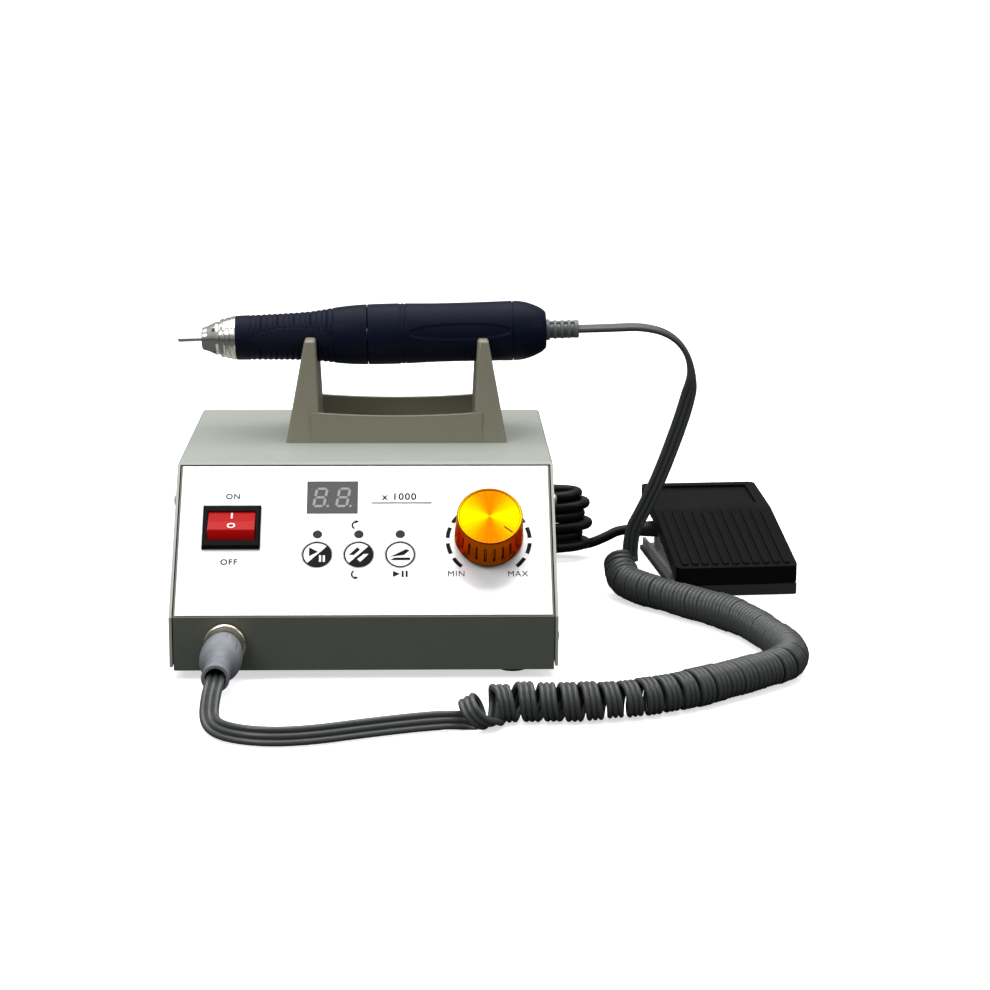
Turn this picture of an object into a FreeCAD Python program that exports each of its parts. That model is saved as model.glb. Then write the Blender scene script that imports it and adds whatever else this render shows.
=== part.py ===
import FreeCAD, Part
import math
import os

# Bench micromotor set for dental work: a sheet-metal control box with a sloping panel, a cradle on
# its lid, a brushless handpiece lying in the cradle, a curly cord and a foot pedal.
#
# Everything is drawn in millimetres in the box's own frame: x across the panel from its middle,
# y away from the user from the skirt's face, z up from the desk. At the end all pieces move
# together, so that the origin is the bottom centre of the set without its cords.

# ------------------------------------------------------------------ driving sizes
# Control box
BOX_WIDTH = 160.0        # the folded tray, which the panel is part of
BOX_DEPTH = 180.0
BOX_HEIGHT = 82.5        # desk to the lid's top
SKIRT_TOP = 27.0         # desk to the fold between skirt and panel
PANEL_RUN = 54.5         # how far back the sloping panel reaches
FOOT_HEIGHT = 4.0
FOOT_RADIUS = 7.0
FOOT_INSET = 17.0        # foot centre from the box's edges
TRAY_SHEET = 1.2
COVER_SHEET = 1.2
COVER_GAP = 0.5          # between tray and cover all round
COVER_LIFT = 1.5         # the cover's sides stop this far above the tray's floor
COVER_BEND = 1.6         # outer radius of the cover's folds
RETURN_WIDTH = 14.0      # the tray's folded-in edges, which the cover is screwed to
SCREW_RADIUS = 1.5
SCREW_HEAD_RADIUS = 2.8
SCREW_HEAD_HEIGHT = 1.9
SCREW_LENGTH = 7.0

# Panel, in its own frame: u across, v up the slope from the fold, w out of the panel
OVERLAY_THICKNESS = 0.4
OVERLAY_EDGE = 0.8       # bare metal left round the printed overlay
POWER_U, POWER_V = -57.0, 43.6
BEZEL_WIDTH, BEZEL_HEIGHT, BEZEL_THICKNESS = 24.8, 21.4, 2.6
SWITCH_BODY_WIDTH, SWITCH_BODY_HEIGHT, SWITCH_BODY_DEPTH = 22.0, 19.2, 20.0
SWITCH_WALL = 0.7
ROCKER_RADIUS = 8.6      # its ends are arcs about the pivot
ROCKER_CHORD = 6.2       # pivot to the rocker's flat top
ROCKER_PIVOT_DEPTH = 2.3
ROCKER_PIN_RADIUS = 1.2
ROCKER_TILT = 18.0       # degrees either side of the middle
DISPLAY_U, DISPLAY_V = -14.2, 59.0
DISPLAY_WIDTH, DISPLAY_HEIGHT = 21.4, 16.0
KEY_US = {"key_mode": -20.3, "key_direction": -2.6, "key_start": 15.1}
KEY_V = 30.3
KEY_RADIUS = 6.5
KEY_TRAVEL = 0.5
KEY_GAP = 0.25
LED_V = 40.4
LED_RADIUS = 1.8
DIAL_U, DIAL_V = 52.9, 37.6
KNOB_RADIUS = 14.7
KNOB_TAPER = 0.75        # smaller at the top by this much
KNOB_BOTTOM, KNOB_TOP = 3.0, 19.8
KNOB_SKIN = 2.4
KNOB_FOOT_INSET = 0.8    # the black foot stands in from the shell
KNOB_FOOT_BOTTOM = 1.2
POT_SHAFT_RADIUS = 3.0
POT_BUSH_RADIUS = 3.5
POT_BODY_RADIUS = 8.5
BOARD_U0, BOARD_U1, BOARD_V0, BOARD_V1 = -34.0, 41.0, 12.0, 72.0
BOARD_DEPTH = 7.4        # panel face to the control board's near side
BOARD_THICKNESS = 1.6

# Motor socket in the skirt and the plug in it
SOCKET_X, SOCKET_Z = -58.2, 15.9
SOCKET_RADIUS = 7.0
SOCKET_NUT_RADIUS = 9.2
SOCKET_NUT_LENGTH = 4.6
PLUG_SHELL_RADIUS = 6.1
PLUG_LENGTH = 52.0       # skirt to the boot's mouth
BOOT_RADIUS = 8.75
COLLAR_RADIUS = 5.3

# Back wall
INLET_X, INLET_Z = -61.0, 42.0
INLET_WIDTH, INLET_HEIGHT, INLET_DEPTH = 27.4, 19.6, 17.0
JACK_X, JACK_Z = -30.0, 24.0
JACK_RADIUS = 4.6
VENT_COUNT, VENT_PITCH, VENT_WIDTH, VENT_HEIGHT = 7, 6.0, 2.4, 26.0

# Cradle on the lid
CRADLE_X, CRADLE_Y = 13.1, 95.9       # middle across, and the front face
CRADLE_LENGTH, CRADLE_DEPTH = 100.0, 52.0
POST_SPACING = 78.2                    # between the middles of the posts' tops
POST_BASE, POST_TOP = 15.4, 4.8        # thickness along x
POST_HEIGHT = 46.1
POST_LEAN = 4.0                        # the prongs' faces lean in by this much
RAIL_THICKNESS = 3.0
RAIL_HEIGHT, RAIL_SAG = 13.8, 1.6
CRADLE_FLOOR = 2.5
REST_CLEARANCE = 0.35                  # notch round the handpiece

# Handpiece, along its own axis from the nose
HAND_X, HAND_Z = -76.0, 126.2          # nose, on the axis
HAND_TILT = 1.53                       # degrees, tail up
MANDREL_RADIUS, MANDREL_OUT = 1.175, 11.0
NOSE_LENGTH, NOSE_FRONT_RADIUS, NOSE_REAR_RADIUS = 8.2, 5.1, 7.6
RING_END, RING_RADIUS = 15.6, 10.0
SLEEVE_END = 75.6
HOUSING_END = 142.1
HAND_LENGTH = 157.6
CAP_END_RADIUS = 8.2
JOINT_GAP = 0.3                        # between grip and motor housing
SLEEVE_OUTLINE = [(15.6, 10.1), (31.3, 10.5), (50.0, 11.3), (62.1, 12.85), (75.6, 13.8)]
HOUSING_OUTLINE = [(75.9, 13.8), (92.0, 13.85), (110.5, 13.45), (134.0, 13.6), (142.1, 13.75)]
HAND_WALL = 2.0
SPINDLE_RADIUS = 3.0
RELIEF_LENGTH, RELIEF_RADIUS = 15.1, 4.25
QUILL_RADIUS = 8.0                     # fixed tube that the grip turns on
MOTOR_BORE = min(r for s, r in HOUSING_OUTLINE) - HAND_WALL
STATOR_CLEARANCE = 0.05
BEARINGS = [(18.5, 6.6), (123.5, MOTOR_BORE - 0.15)]  # start along the axis and outer radius

# Motor cord: three cores side by side
CORD_WIDTH = 7.8
COIL_RADIUS = 8.0
BOOT_MOUTH_DEPTH = 6.0
LEAD_ROUTE = [
    (-58.2, -55.0, 15.9), (-59.4, -63.5, 11.0), (-59.6, -70.5, 5.4), (-56.5, -78.5, 4.0),
    (-48.0, -86.5, 4.0), (-34.0, -90.5, 4.0), (-18.0, -88.0, 4.0), (0.0, -80.5, 4.0),
    (16.0, -74.5, 4.0), (29.0, -70.5, 4.0), (40.0, -69.5, 4.3)]
COIL_ROUTE = [
    (38.0, -69.0, 8.1), (50.0, -61.5, 8.1), (64.0, -59.0, 8.1), (82.0, -60.0, 8.1),
    (103.0, -57.0, 8.1), (122.0, -49.5, 8.1), (138.0, -39.0, 8.1), (152.0, -28.0, 8.1),
    (164.0, -18.0, 8.1), (175.0, -8.5, 8.1), (181.5, 4.0, 8.1), (181.0, 20.0, 8.1),
    (176.4, 40.0, 8.1), (171.4, 58.0, 8.1), (164.0, 74.0, 8.1), (152.5, 88.5, 8.1),
    (140.0, 103.5, 8.1), (129.0, 118.0, 8.1), (121.5, 130.0, 8.4), (119.3, 138.5, 11.0),
    (120.0, 143.5, 15.5)]
RISER_ROUTE = [
    (120.0, 143.5, 15.5), (121.3, 146.2, 21.0), (124.6, 146.0, 29.0), (129.8, 143.0, 40.0),
    (136.0, 139.0, 55.0), (142.0, 135.0, 73.0), (147.6, 131.0, 92.0), (150.4, 128.0, 107.0),
    (147.6, 126.0, 119.5), (139.0, 124.0, 128.4), (126.0, 122.4, 131.9)]

# Foot pedal, in its own frame from its front left corner
PEDAL_X, PEDAL_Y, PEDAL_TURN = 145.7, 134.0, 5.0
PEDAL_WIDTH, PEDAL_LENGTH = 59.0, 100.0
PEDAL_FRONT_HEIGHT, PEDAL_FOLD_Y, PEDAL_FOLD_HEIGHT, PEDAL_REAR_HEIGHT = 13.9, 60.0, 29.3, 34.0
PEDAL_SKIN = 2.4
PEDAL_SKIRT = 7.0
PEDAL_LIP_BOTTOM = 5.7
MAT_THICKNESS, MAT_LIP_HEIGHT = 2.0, 5.2
BASE_SHEET = 1.5
BASE_RIM_HEIGHT = 4.5
HINGE_Y, HINGE_Z, HINGE_RADIUS = 26.0, 9.3, 2.0
HINGE_CLEARANCE = 0.05
PEDAL_PRESS = 6.0        # degrees
PLUNGER_TRAVEL = 1.5
GLAND_Y, GLAND_Z, GLAND_RADIUS, GLAND_OUT = 85.0, 13.6, 3.4, 5.0

# Pedal lead and its hank behind the box
PEDAL_LEAD_DIAMETER = 5.0
HANK_X0, HANK_X1, HANK_Y0, HANK_Y1, HANK_HEIGHT = 8.0, 112.0, 196.0, 230.0, 38.0
HANK_ROUNDING = 12.0
TIE_X, TIE_WIDTH, TIE_THICKNESS = 56.0, 6.0, 1.2
PEDAL_LEAD_ROUTE = [(118.5, 216.4, 10.2), (109.5, 215.2, 6.6), (99.0, 214.5, 5.8)]
JACK_LEAD_ROUTE = [
    (-30.0, 219.5, 24.0), (-27.0, 229.5, 21.5), (-17.5, 236.0, 18.0), (-6.0, 234.0, 15.0),
    (4.0, 226.5, 13.0), (13.0, 218.0, 12.0)]
JACK_PLUG_LENGTH = 26.0

ALONG = {"x": FreeCAD.Vector(1, 0, 0), "y": FreeCAD.Vector(0, 1, 0), "z": FreeCAD.Vector(0, 0, 1)}


# ------------------------------------------------------------------ shape helpers
def at(x, y, z):
    return FreeCAD.Vector(x, y, z)


def block(x0, x1, y0, y1, z0, z1):
    return Part.makeBox(x1 - x0, y1 - y0, z1 - z0, at(x0, y0, z0))


def rod(radius, start, length, axis="z"):
    return Part.makeCylinder(radius, length, at(*start), ALONG[axis])


def ring(outer, inner, start, length, axis="z"):
    return rod(outer, start, length, axis).cut(rod(inner, start, length, axis))


def slab(points, start, length, axis="x"):
    """A closed outline pushed along one axis; the outline's two numbers are the other two axes."""
    places = {"x": lambda p: at(start, p[0], p[1]), "y": lambda p: at(p[0], start, p[1]),
              "z": lambda p: at(p[0], p[1], start)}
    corners = [places[axis](p) for p in points]
    face = Part.Face(Part.makePolygon(corners + corners[:1]))
    return face.extrude(ALONG[axis] * length)


def turned(points):
    """A solid of revolution about x from (x, radius) points, closed along the axis."""
    corners = [at(x, r, 0) for x, r in points]
    corners = [at(points[0][0], 0, 0)] + corners + [at(points[-1][0], 0, 0)]
    kept = [corners[0]] + [c for i, c in enumerate(corners[1:]) if (c - corners[i]).Length > 1e-6]
    return Part.Face(Part.makePolygon(kept + kept[:1])).revolve(at(0, 0, 0), ALONG["x"], 360)


def turned_curve(points):
    """As turned, with a smooth curve through the points instead of straight lines."""
    curve = Part.BSplineCurve()
    curve.interpolate([at(x, r, 0) for x, r in points])
    x0, r0, x1, r1 = points[0][0], points[0][1], points[-1][0], points[-1][1]
    sides = Part.makePolygon([at(x1, r1, 0), at(x1, 0, 0), at(x0, 0, 0), at(x0, r0, 0)])
    outline = Part.Wire([curve.toShape()] + sides.Edges)
    return Part.Face(outline).revolve(at(0, 0, 0), ALONG["x"], 360)


def folded(points, sheet):
    """The outline of a folded sheet whose outer face follows the points, clockwise."""
    inner = []
    for i, (px, pz) in enumerate(points):
        sides = []
        for j in (i - 1, i):
            if 0 <= j < len(points) - 1:
                (ax, az), (bx, bz) = points[j], points[j + 1]
                long = math.hypot(bx - ax, bz - az)
                sides.append(((bz - az) / long, -(bx - ax) / long))
        (n0x, n0z), (n1x, n1z) = sides[0], sides[-1]
        scale = sheet / (1 + n0x * n1x + n0z * n1z)
        inner.append((px + (n0x + n1x) * scale, pz + (n0z + n1z) * scale))
    return points + inner[::-1]


def rounded(shape, radius, chosen):
    return shape.makeFillet(radius, [e for e in shape.Edges if chosen(e)])


def is_along(axis):
    def test(edge):
        if len(edge.Vertexes) != 2:
            return False
        d = edge.Vertexes[1].Point - edge.Vertexes[0].Point
        return d.Length > 1e-6 and abs(d.normalize().dot(ALONG[axis])) > 0.999
    return test


def cord_path(points):
    """Straight runs joined by tangent arcs, each as large as its two runs allow."""
    points = [at(*p) for p in points]
    edges, last, radii = [], points[0], []
    for before, corner, after in zip(points, points[1:], points[2:]):
        back, on = (before - corner), (after - corner)
        reach = 0.45 * min(back.Length, on.Length)
        half = (math.pi - back.getAngle(on)) / 2
        radius = reach / math.tan(half)
        start, end = corner + back.normalize() * reach, corner + on.normalize() * reach
        inward = (back + on).normalize()
        middle = corner + inward * (radius / math.cos(half) - radius)
        edges += [Part.LineSegment(last, start).toShape(), Part.Arc(start, middle, end).toShape()]
        radii.append(round(radius, 1))
        last = end
    edges.append(Part.LineSegment(last, points[-1]).toShape())
    return Part.Wire(edges), radii


def cord(name, points, radius):
    path, radii = cord_path(points)
    first = path.Edges[0]
    start = first.valueAt(first.FirstParameter)
    section = Part.Wire(Part.Circle(start, first.tangentAt(first.FirstParameter), radius).toShape())
    solid = path.makePipeShell([section], True, False)
    share = solid.Volume / (math.pi * radius ** 2 * path.Length)
    print(f"{name}: {path.Length:.0f} mm long, volume share {share:.4f}, radii {radii}")
    return solid


# ------------------------------------------------------------------ frames
SLOPE = math.degrees(math.atan2(BOX_HEIGHT - SKIRT_TOP, PANEL_RUN))
PANEL_LENGTH = math.hypot(BOX_HEIGHT - SKIRT_TOP, PANEL_RUN)
PANEL_FRAME = FreeCAD.Placement(at(0, 0, SKIRT_TOP), FreeCAD.Rotation(ALONG["x"], SLOPE))
HAND_Y = CRADLE_Y + CRADLE_DEPTH / 2
HAND_FRAME = FreeCAD.Placement(at(HAND_X, HAND_Y, HAND_Z), FreeCAD.Rotation(ALONG["y"], -HAND_TILT))
PEDAL_FRAME = FreeCAD.Placement(at(PEDAL_X, PEDAL_Y, 0), FreeCAD.Rotation(ALONG["z"], PEDAL_TURN))


def placed(shape, frame):
    moved = shape.copy()
    moved.Placement = frame.multiply(moved.Placement)
    return moved


def in_box(u, v, w, frame):
    return frame.multVec(at(u, v, w))


# ------------------------------------------------------------------ control box
LID_UNDERSIDE = BOX_HEIGHT - COVER_SHEET
TRAY_TOP = LID_UNDERSIDE - COVER_GAP
SIDE_SCREWS = [(55.0, 65.0), (29.0, FOOT_HEIGHT + 6.8), (BOX_DEPTH - 8.0, 62.0), (140.0, FOOT_HEIGHT + 6.8)]


def panel_y(z):
    return PANEL_RUN * (z - SKIRT_TOP) / (BOX_HEIGHT - SKIRT_TOP)


def panel_cutouts(grow):
    """What passes through the panel, each opening larger than its piece by grow."""
    half_w, half_h = SWITCH_BODY_WIDTH / 2 + grow, SWITCH_BODY_HEIGHT / 2 + grow
    low, high = -TRAY_SHEET - 1, 2.0
    tools = [block(POWER_U - half_w, POWER_U + half_w, POWER_V - half_h, POWER_V + half_h, low, high)]
    half_w, half_h = DISPLAY_WIDTH / 2 + grow, DISPLAY_HEIGHT / 2 + grow
    tools.append(block(DISPLAY_U - half_w, DISPLAY_U + half_w, DISPLAY_V - half_h, DISPLAY_V + half_h,
                       low, high))
    for u in KEY_US.values():
        tools.append(rod(KEY_RADIUS + grow, (u, KEY_V, low), high - low))
        tools.append(rod(LED_RADIUS + grow, (u, LED_V, low), high - low))
    tools.append(rod(POT_BUSH_RADIUS + grow, (DIAL_U, DIAL_V, low), high - low))
    return tools


def side_screw_axes():
    for side in (-1, 1):
        for y, z in SIDE_SCREWS:
            yield side, y, z


def make_tray():
    half = BOX_WIDTH / 2
    outline = folded([(BOX_DEPTH, TRAY_TOP), (BOX_DEPTH, FOOT_HEIGHT), (0, FOOT_HEIGHT), (0, SKIRT_TOP),
                      (panel_y(TRAY_TOP), TRAY_TOP), (panel_y(TRAY_TOP) + RETURN_WIDTH, TRAY_TOP)],
                     TRAY_SHEET)
    tray = slab(outline, -half, BOX_WIDTH)
    inner = RETURN_WIDTH
    front = [(0, FOOT_HEIGHT), (0, SKIRT_TOP), (panel_y(TRAY_TOP), TRAY_TOP),
             (panel_y(TRAY_TOP) + inner, TRAY_TOP), (panel_y(TRAY_TOP) + inner, TRAY_TOP - 24),
             (panel_y(TRAY_TOP - 24) + inner, TRAY_TOP - 24), (inner, SKIRT_TOP), (inner, FOOT_HEIGHT)]
    for x in (-half, half - TRAY_SHEET):
        tray = tray.fuse(slab(front, x, TRAY_SHEET))
        tray = tray.fuse(block(x, x + TRAY_SHEET, 0, BOX_DEPTH, FOOT_HEIGHT, FOOT_HEIGHT + inner))
        tray = tray.fuse(block(x, x + TRAY_SHEET, BOX_DEPTH - inner, BOX_DEPTH, FOOT_HEIGHT, TRAY_TOP))
    tools = [placed(t, PANEL_FRAME) for t in panel_cutouts(KEY_GAP)]
    tools.append(rod(SOCKET_RADIUS, (SOCKET_X, -1, SOCKET_Z), 4, "y"))
    half_w, half_h = INLET_WIDTH / 2, INLET_HEIGHT / 2
    tools.append(block(INLET_X - half_w, INLET_X + half_w, BOX_DEPTH - 3, BOX_DEPTH + 1,
                       INLET_Z - half_h, INLET_Z + half_h))
    tools.append(rod(JACK_RADIUS, (JACK_X, BOX_DEPTH - 3, JACK_Z), 4, "y"))
    for i in range(VENT_COUNT):
        x = 18.0 + i * VENT_PITCH
        tools.append(block(x, x + VENT_WIDTH, BOX_DEPTH - 3, BOX_DEPTH + 1, 34.0, 34.0 + VENT_HEIGHT))
    for side, y, z in side_screw_axes():
        tools.append(rod(SCREW_RADIUS, (side * half - 3, y, z), 6, "x"))
    return tray.cut(Part.makeCompound(tools)).removeSplitter()


def make_cover():
    half = BOX_WIDTH / 2 + COVER_GAP + COVER_SHEET
    bottom = FOOT_HEIGHT + COVER_LIFT
    shell = block(-half, half, 0, BOX_DEPTH, bottom, BOX_HEIGHT)
    shell = rounded(shell, COVER_BEND, lambda e: is_along("y")(e) and e.CenterOfMass.z > BOX_HEIGHT - 1)
    inner = half - COVER_SHEET
    shell = shell.cut(block(-inner, inner, -1, BOX_DEPTH + 1, bottom - 1, LID_UNDERSIDE))
    front = [(-1, SKIRT_TOP - 1), (panel_y(SKIRT_TOP - 1), SKIRT_TOP - 1), (PANEL_RUN, BOX_HEIGHT),
             (panel_y(BOX_HEIGHT + 1), BOX_HEIGHT + 1), (-1, BOX_HEIGHT + 1)]
    shell = shell.cut(slab(front, -half - 1, 2 * half + 2))
    tools = [rod(SCREW_RADIUS + 0.2, (side * half - 3, y, z), 6, "x") for side, y, z in side_screw_axes()]
    tools += [rod(SCREW_RADIUS + 0.2, (x, y, LID_UNDERSIDE - 1), 4) for x, y in cradle_screw_places()]
    return shell.cut(Part.makeCompound(tools)).removeSplitter()


def make_cover_screws():
    outer = BOX_WIDTH / 2 + COVER_GAP + COVER_SHEET
    screws = []
    for side, y, z in side_screw_axes():
        head = turned([(0, SCREW_HEAD_RADIUS), (SCREW_HEAD_HEIGHT * 0.5, SCREW_HEAD_RADIUS),
                       (SCREW_HEAD_HEIGHT * 0.85, SCREW_HEAD_RADIUS * 0.8),
                       (SCREW_HEAD_HEIGHT, SCREW_HEAD_RADIUS * 0.5)])
        screw = head.fuse(rod(SCREW_RADIUS, (-SCREW_LENGTH, 0, 0), SCREW_LENGTH, "x"))
        for wide, tall in ((2.6, 0.6), (0.6, 2.6)):
            screw = screw.cut(block(SCREW_HEAD_HEIGHT - 1, SCREW_HEAD_HEIGHT + 1,
                                    -wide / 2, wide / 2, -tall / 2, tall / 2))
        turn = 0 if side > 0 else 180
        frame = FreeCAD.Placement(at(side * outer, y, z), FreeCAD.Rotation(ALONG["z"], turn))
        screws.append(placed(screw, frame))
    return Part.makeCompound(screws)


def make_feet():
    feet = []
    x = BOX_WIDTH / 2 - FOOT_INSET
    for sx in (-x, x):
        for y in (FOOT_INSET, BOX_DEPTH - FOOT_INSET):
            foot = Part.makeCone(FOOT_RADIUS - 0.8, FOOT_RADIUS, FOOT_HEIGHT, at(sx, y, 0))
            feet.append(foot.cut(rod(2.0, (sx, y, -1), 2.6)))
    return Part.makeCompound(feet)


# ------------------------------------------------------------------ panel pieces
def make_overlay():
    half = BOX_WIDTH / 2 - OVERLAY_EDGE
    top = PANEL_LENGTH - COVER_SHEET - COVER_GAP - 1.0
    overlay = block(-half, half, OVERLAY_EDGE, top, 0, OVERLAY_THICKNESS)
    tools = panel_cutouts(KEY_GAP)
    tools.append(rod(POT_BODY_RADIUS - 2, (DIAL_U, DIAL_V, -1), 3))
    return placed(overlay.cut(Part.makeCompound(tools)), PANEL_FRAME)


def make_switch_housing():
    half_w, half_h = BEZEL_WIDTH / 2, BEZEL_HEIGHT / 2
    base = OVERLAY_THICKNESS
    bezel = block(-half_w, half_w, -half_h, half_h, base, BEZEL_THICKNESS)
    bezel = bezel.makeChamfer(0.9, [e for e in bezel.Edges if e.CenterOfMass.z > BEZEL_THICKNESS - 0.01])
    body_w, body_h = SWITCH_BODY_WIDTH / 2, SWITCH_BODY_HEIGHT / 2
    housing = bezel.fuse(block(-body_w, body_w, -body_h, body_h, -SWITCH_BODY_DEPTH, base))
    cavity_w, cavity_h = body_w - SWITCH_WALL, body_h - SWITCH_WALL
    cavity = block(-cavity_w, cavity_w, -cavity_h, cavity_h, -ROCKER_PIVOT_DEPTH - ROCKER_RADIUS,
                   -ROCKER_PIVOT_DEPTH)
    sweep = rod(ROCKER_RADIUS + 0.25, (-cavity_w, 0, -ROCKER_PIVOT_DEPTH), 2 * cavity_w, "x")
    housing = housing.cut(cavity).cut(sweep)
    housing = housing.cut(rod(ROCKER_PIN_RADIUS + 0.05, (-body_w, 0, -ROCKER_PIVOT_DEPTH), 2 * body_w, "x"))
    for u in (-6.0, 6.0):
        for v in (-4.8, 4.8):
            housing = housing.fuse(block(u - 2.4, u + 2.4, v - 0.4, v + 0.4, -SWITCH_BODY_DEPTH - 8,
                                         -SWITCH_BODY_DEPTH))
    housing.translate(at(POWER_U, POWER_V, 0))
    return placed(housing.removeSplitter(), PANEL_FRAME)


def make_rocker():
    width = SWITCH_BODY_WIDTH - 2 * SWITCH_WALL - 0.6
    drum = rod(ROCKER_RADIUS, (-width / 2, 0, 0), width, "x")
    top = ROCKER_CHORD
    half = math.sqrt(ROCKER_RADIUS ** 2 - top ** 2)
    dish = 0.5
    outline = [(-ROCKER_RADIUS - 1, 1.0), (ROCKER_RADIUS + 1, 1.0), (half + 3, top), (half, top),
               (0, top - dish), (-half, top), (-half - 3, top)]
    rocker = drum.common(slab(outline, -width / 2, width))
    rocker = rocker.fuse(block(-width / 2, width / 2, -2.2, 2.2, -1.6, 1.5))
    pin_length = SWITCH_BODY_WIDTH - 0.4
    rocker = rocker.fuse(rod(ROCKER_PIN_RADIUS, (-pin_length / 2, 0, 0), pin_length, "x"))
    rocker.rotate(at(0, 0, 0), ALONG["x"], -ROCKER_TILT)
    rocker.translate(at(POWER_U, POWER_V, -ROCKER_PIVOT_DEPTH))
    return placed(rocker.removeSplitter(), PANEL_FRAME)


def make_display_window():
    half_w, half_h = DISPLAY_WIDTH / 2, DISPLAY_HEIGHT / 2
    lens = block(DISPLAY_U - half_w, DISPLAY_U + half_w, DISPLAY_V - half_h, DISPLAY_V + half_h,
                 -TRAY_SHEET, OVERLAY_THICKNESS)
    return placed(lens, PANEL_FRAME)


def make_display_module():
    half_w, half_h = DISPLAY_WIDTH / 2 + 1.8, DISPLAY_HEIGHT / 2 + 1.5
    body = block(DISPLAY_U - half_w, DISPLAY_U + half_w, DISPLAY_V - half_h, DISPLAY_V + half_h,
                 -BOARD_DEPTH, -TRAY_SHEET - 0.2)
    return placed(body, PANEL_FRAME)


def make_key(u):
    flange = KEY_RADIUS + 1.1
    key = rod(KEY_RADIUS, (u, KEY_V, -TRAY_SHEET - 0.1), TRAY_SHEET + 0.1 + OVERLAY_THICKNESS)
    key = key.fuse(rod(flange, (u, KEY_V, -TRAY_SHEET - 0.8), 0.7))
    key = key.fuse(rod(1.8, (u, KEY_V, -3.4), 3.4 - TRAY_SHEET))
    return placed(key.removeSplitter(), PANEL_FRAME)


def make_key_switches():
    switches = []
    top = -3.4 - KEY_TRAVEL - 0.1
    for u in KEY_US.values():
        body = block(u - 3, u + 3, KEY_V - 3, KEY_V + 3, -BOARD_DEPTH, top - 0.6)
        switches.append(body.fuse(rod(1.7, (u, KEY_V, top - 0.6), 0.6)))
    return placed(Part.makeCompound(switches), PANEL_FRAME)


def make_status_leds():
    lamps = []
    for u in KEY_US.values():
        lens = rod(LED_RADIUS, (u, LED_V, -3.0), 3.0 + OVERLAY_THICKNESS)
        lamps.append(lens.fuse(rod(1.3, (u, LED_V, -BOARD_DEPTH), BOARD_DEPTH - 3.0)))
    return placed(Part.makeCompound(lamps), PANEL_FRAME)


def make_control_board():
    board = block(BOARD_U0, BOARD_U1, BOARD_V0, BOARD_V1, -BOARD_DEPTH - BOARD_THICKNESS, -BOARD_DEPTH)
    return placed(board, PANEL_FRAME)


def make_board_spacers():
    spacers = []
    for u in (BOARD_U0 + 3, BOARD_U1 - 3):
        for v in (BOARD_V0 + 4, BOARD_V1 - 3):
            spacers.append(placed(ring(2.5, 1.2, (u, v, -BOARD_DEPTH), BOARD_DEPTH - TRAY_SHEET), PANEL_FRAME))
    spacers += [ring(3.0, 1.3, (x, y, FLOOR_TOP), DRIVER_LIFT) for x, y in driver_corners()]
    return Part.makeCompound(spacers)


def make_potentiometer():
    body = rod(POT_BODY_RADIUS, (DIAL_U, DIAL_V, -TRAY_SHEET - 9), 9)
    body = body.fuse(rod(POT_BUSH_RADIUS, (DIAL_U, DIAL_V, -TRAY_SHEET - 1), TRAY_SHEET + 7))
    corner = 5.0 / math.cos(math.pi / 6)
    points = [(DIAL_U + corner * math.cos(math.pi / 3 * k), DIAL_V + corner * math.sin(math.pi / 3 * k))
              for k in range(6)]
    body = body.fuse(slab(points, 0, 2.2, "z"))
    body = body.cut(rod(POT_SHAFT_RADIUS + 0.05, (DIAL_U, DIAL_V, -TRAY_SHEET - 7), 20))
    return placed(body.removeSplitter(), PANEL_FRAME)


KNOB_BORE_FLOOR = 6.6


def make_pot_shaft():
    shaft = rod(POT_SHAFT_RADIUS, (DIAL_U, DIAL_V, -TRAY_SHEET - 6.8), TRAY_SHEET + 6.8 + 14.5)
    return placed(shaft, PANEL_FRAME)


def make_knob_insert():
    core = rod(KNOB_RADIUS - KNOB_SKIN, (DIAL_U, DIAL_V, KNOB_BOTTOM), KNOB_TOP - KNOB_SKIN - KNOB_BOTTOM)
    foot = rod(KNOB_RADIUS - KNOB_FOOT_INSET, (DIAL_U, DIAL_V, KNOB_FOOT_BOTTOM),
               KNOB_BOTTOM - KNOB_FOOT_BOTTOM)
    insert = core.fuse(foot).cut(rod(7.4, (DIAL_U, DIAL_V, 0), KNOB_BORE_FLOOR))
    insert = insert.cut(rod(POT_SHAFT_RADIUS, (DIAL_U, DIAL_V, 0), 14.5))
    return placed(insert.removeSplitter(), PANEL_FRAME)


def make_knob():
    height = KNOB_TOP - KNOB_BOTTOM
    shell = Part.makeCone(KNOB_RADIUS, KNOB_RADIUS - KNOB_TAPER, height, at(DIAL_U, DIAL_V, KNOB_BOTTOM))
    shell = shell.makeChamfer(0.5, [e for e in shell.Edges if e.CenterOfMass.z > KNOB_TOP - 0.01
                                    and len(e.Vertexes) == 1])
    shell = shell.cut(rod(KNOB_RADIUS - KNOB_SKIN, (DIAL_U, DIAL_V, KNOB_BOTTOM),
                          height - KNOB_SKIN))
    return placed(shell, PANEL_FRAME)


# ------------------------------------------------------------------ socket, plug and back wall
def make_socket():
    body = rod(SOCKET_RADIUS, (SOCKET_X, -5.4, SOCKET_Z), 19.4, "y")
    body = body.fuse(rod(SOCKET_RADIUS + 1.8, (SOCKET_X, TRAY_SHEET, SOCKET_Z), 2.0, "y"))
    body = body.cut(rod(PLUG_SHELL_RADIUS + 0.05, (SOCKET_X, -6, SOCKET_Z), 14, "y"))
    return body.cut(rod(5.0, (SOCKET_X, 7, SOCKET_Z), 10, "y"))


def make_socket_nut():
    nut = ring(SOCKET_NUT_RADIUS, SOCKET_RADIUS, (SOCKET_X, -SOCKET_NUT_LENGTH, SOCKET_Z),
               SOCKET_NUT_LENGTH, "y")
    return rounded(nut, 1.2, lambda e: e.CenterOfMass.y < -SOCKET_NUT_LENGTH + 0.01
                   and e.BoundBox.XLength > 2 * SOCKET_RADIUS + 1)


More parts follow.
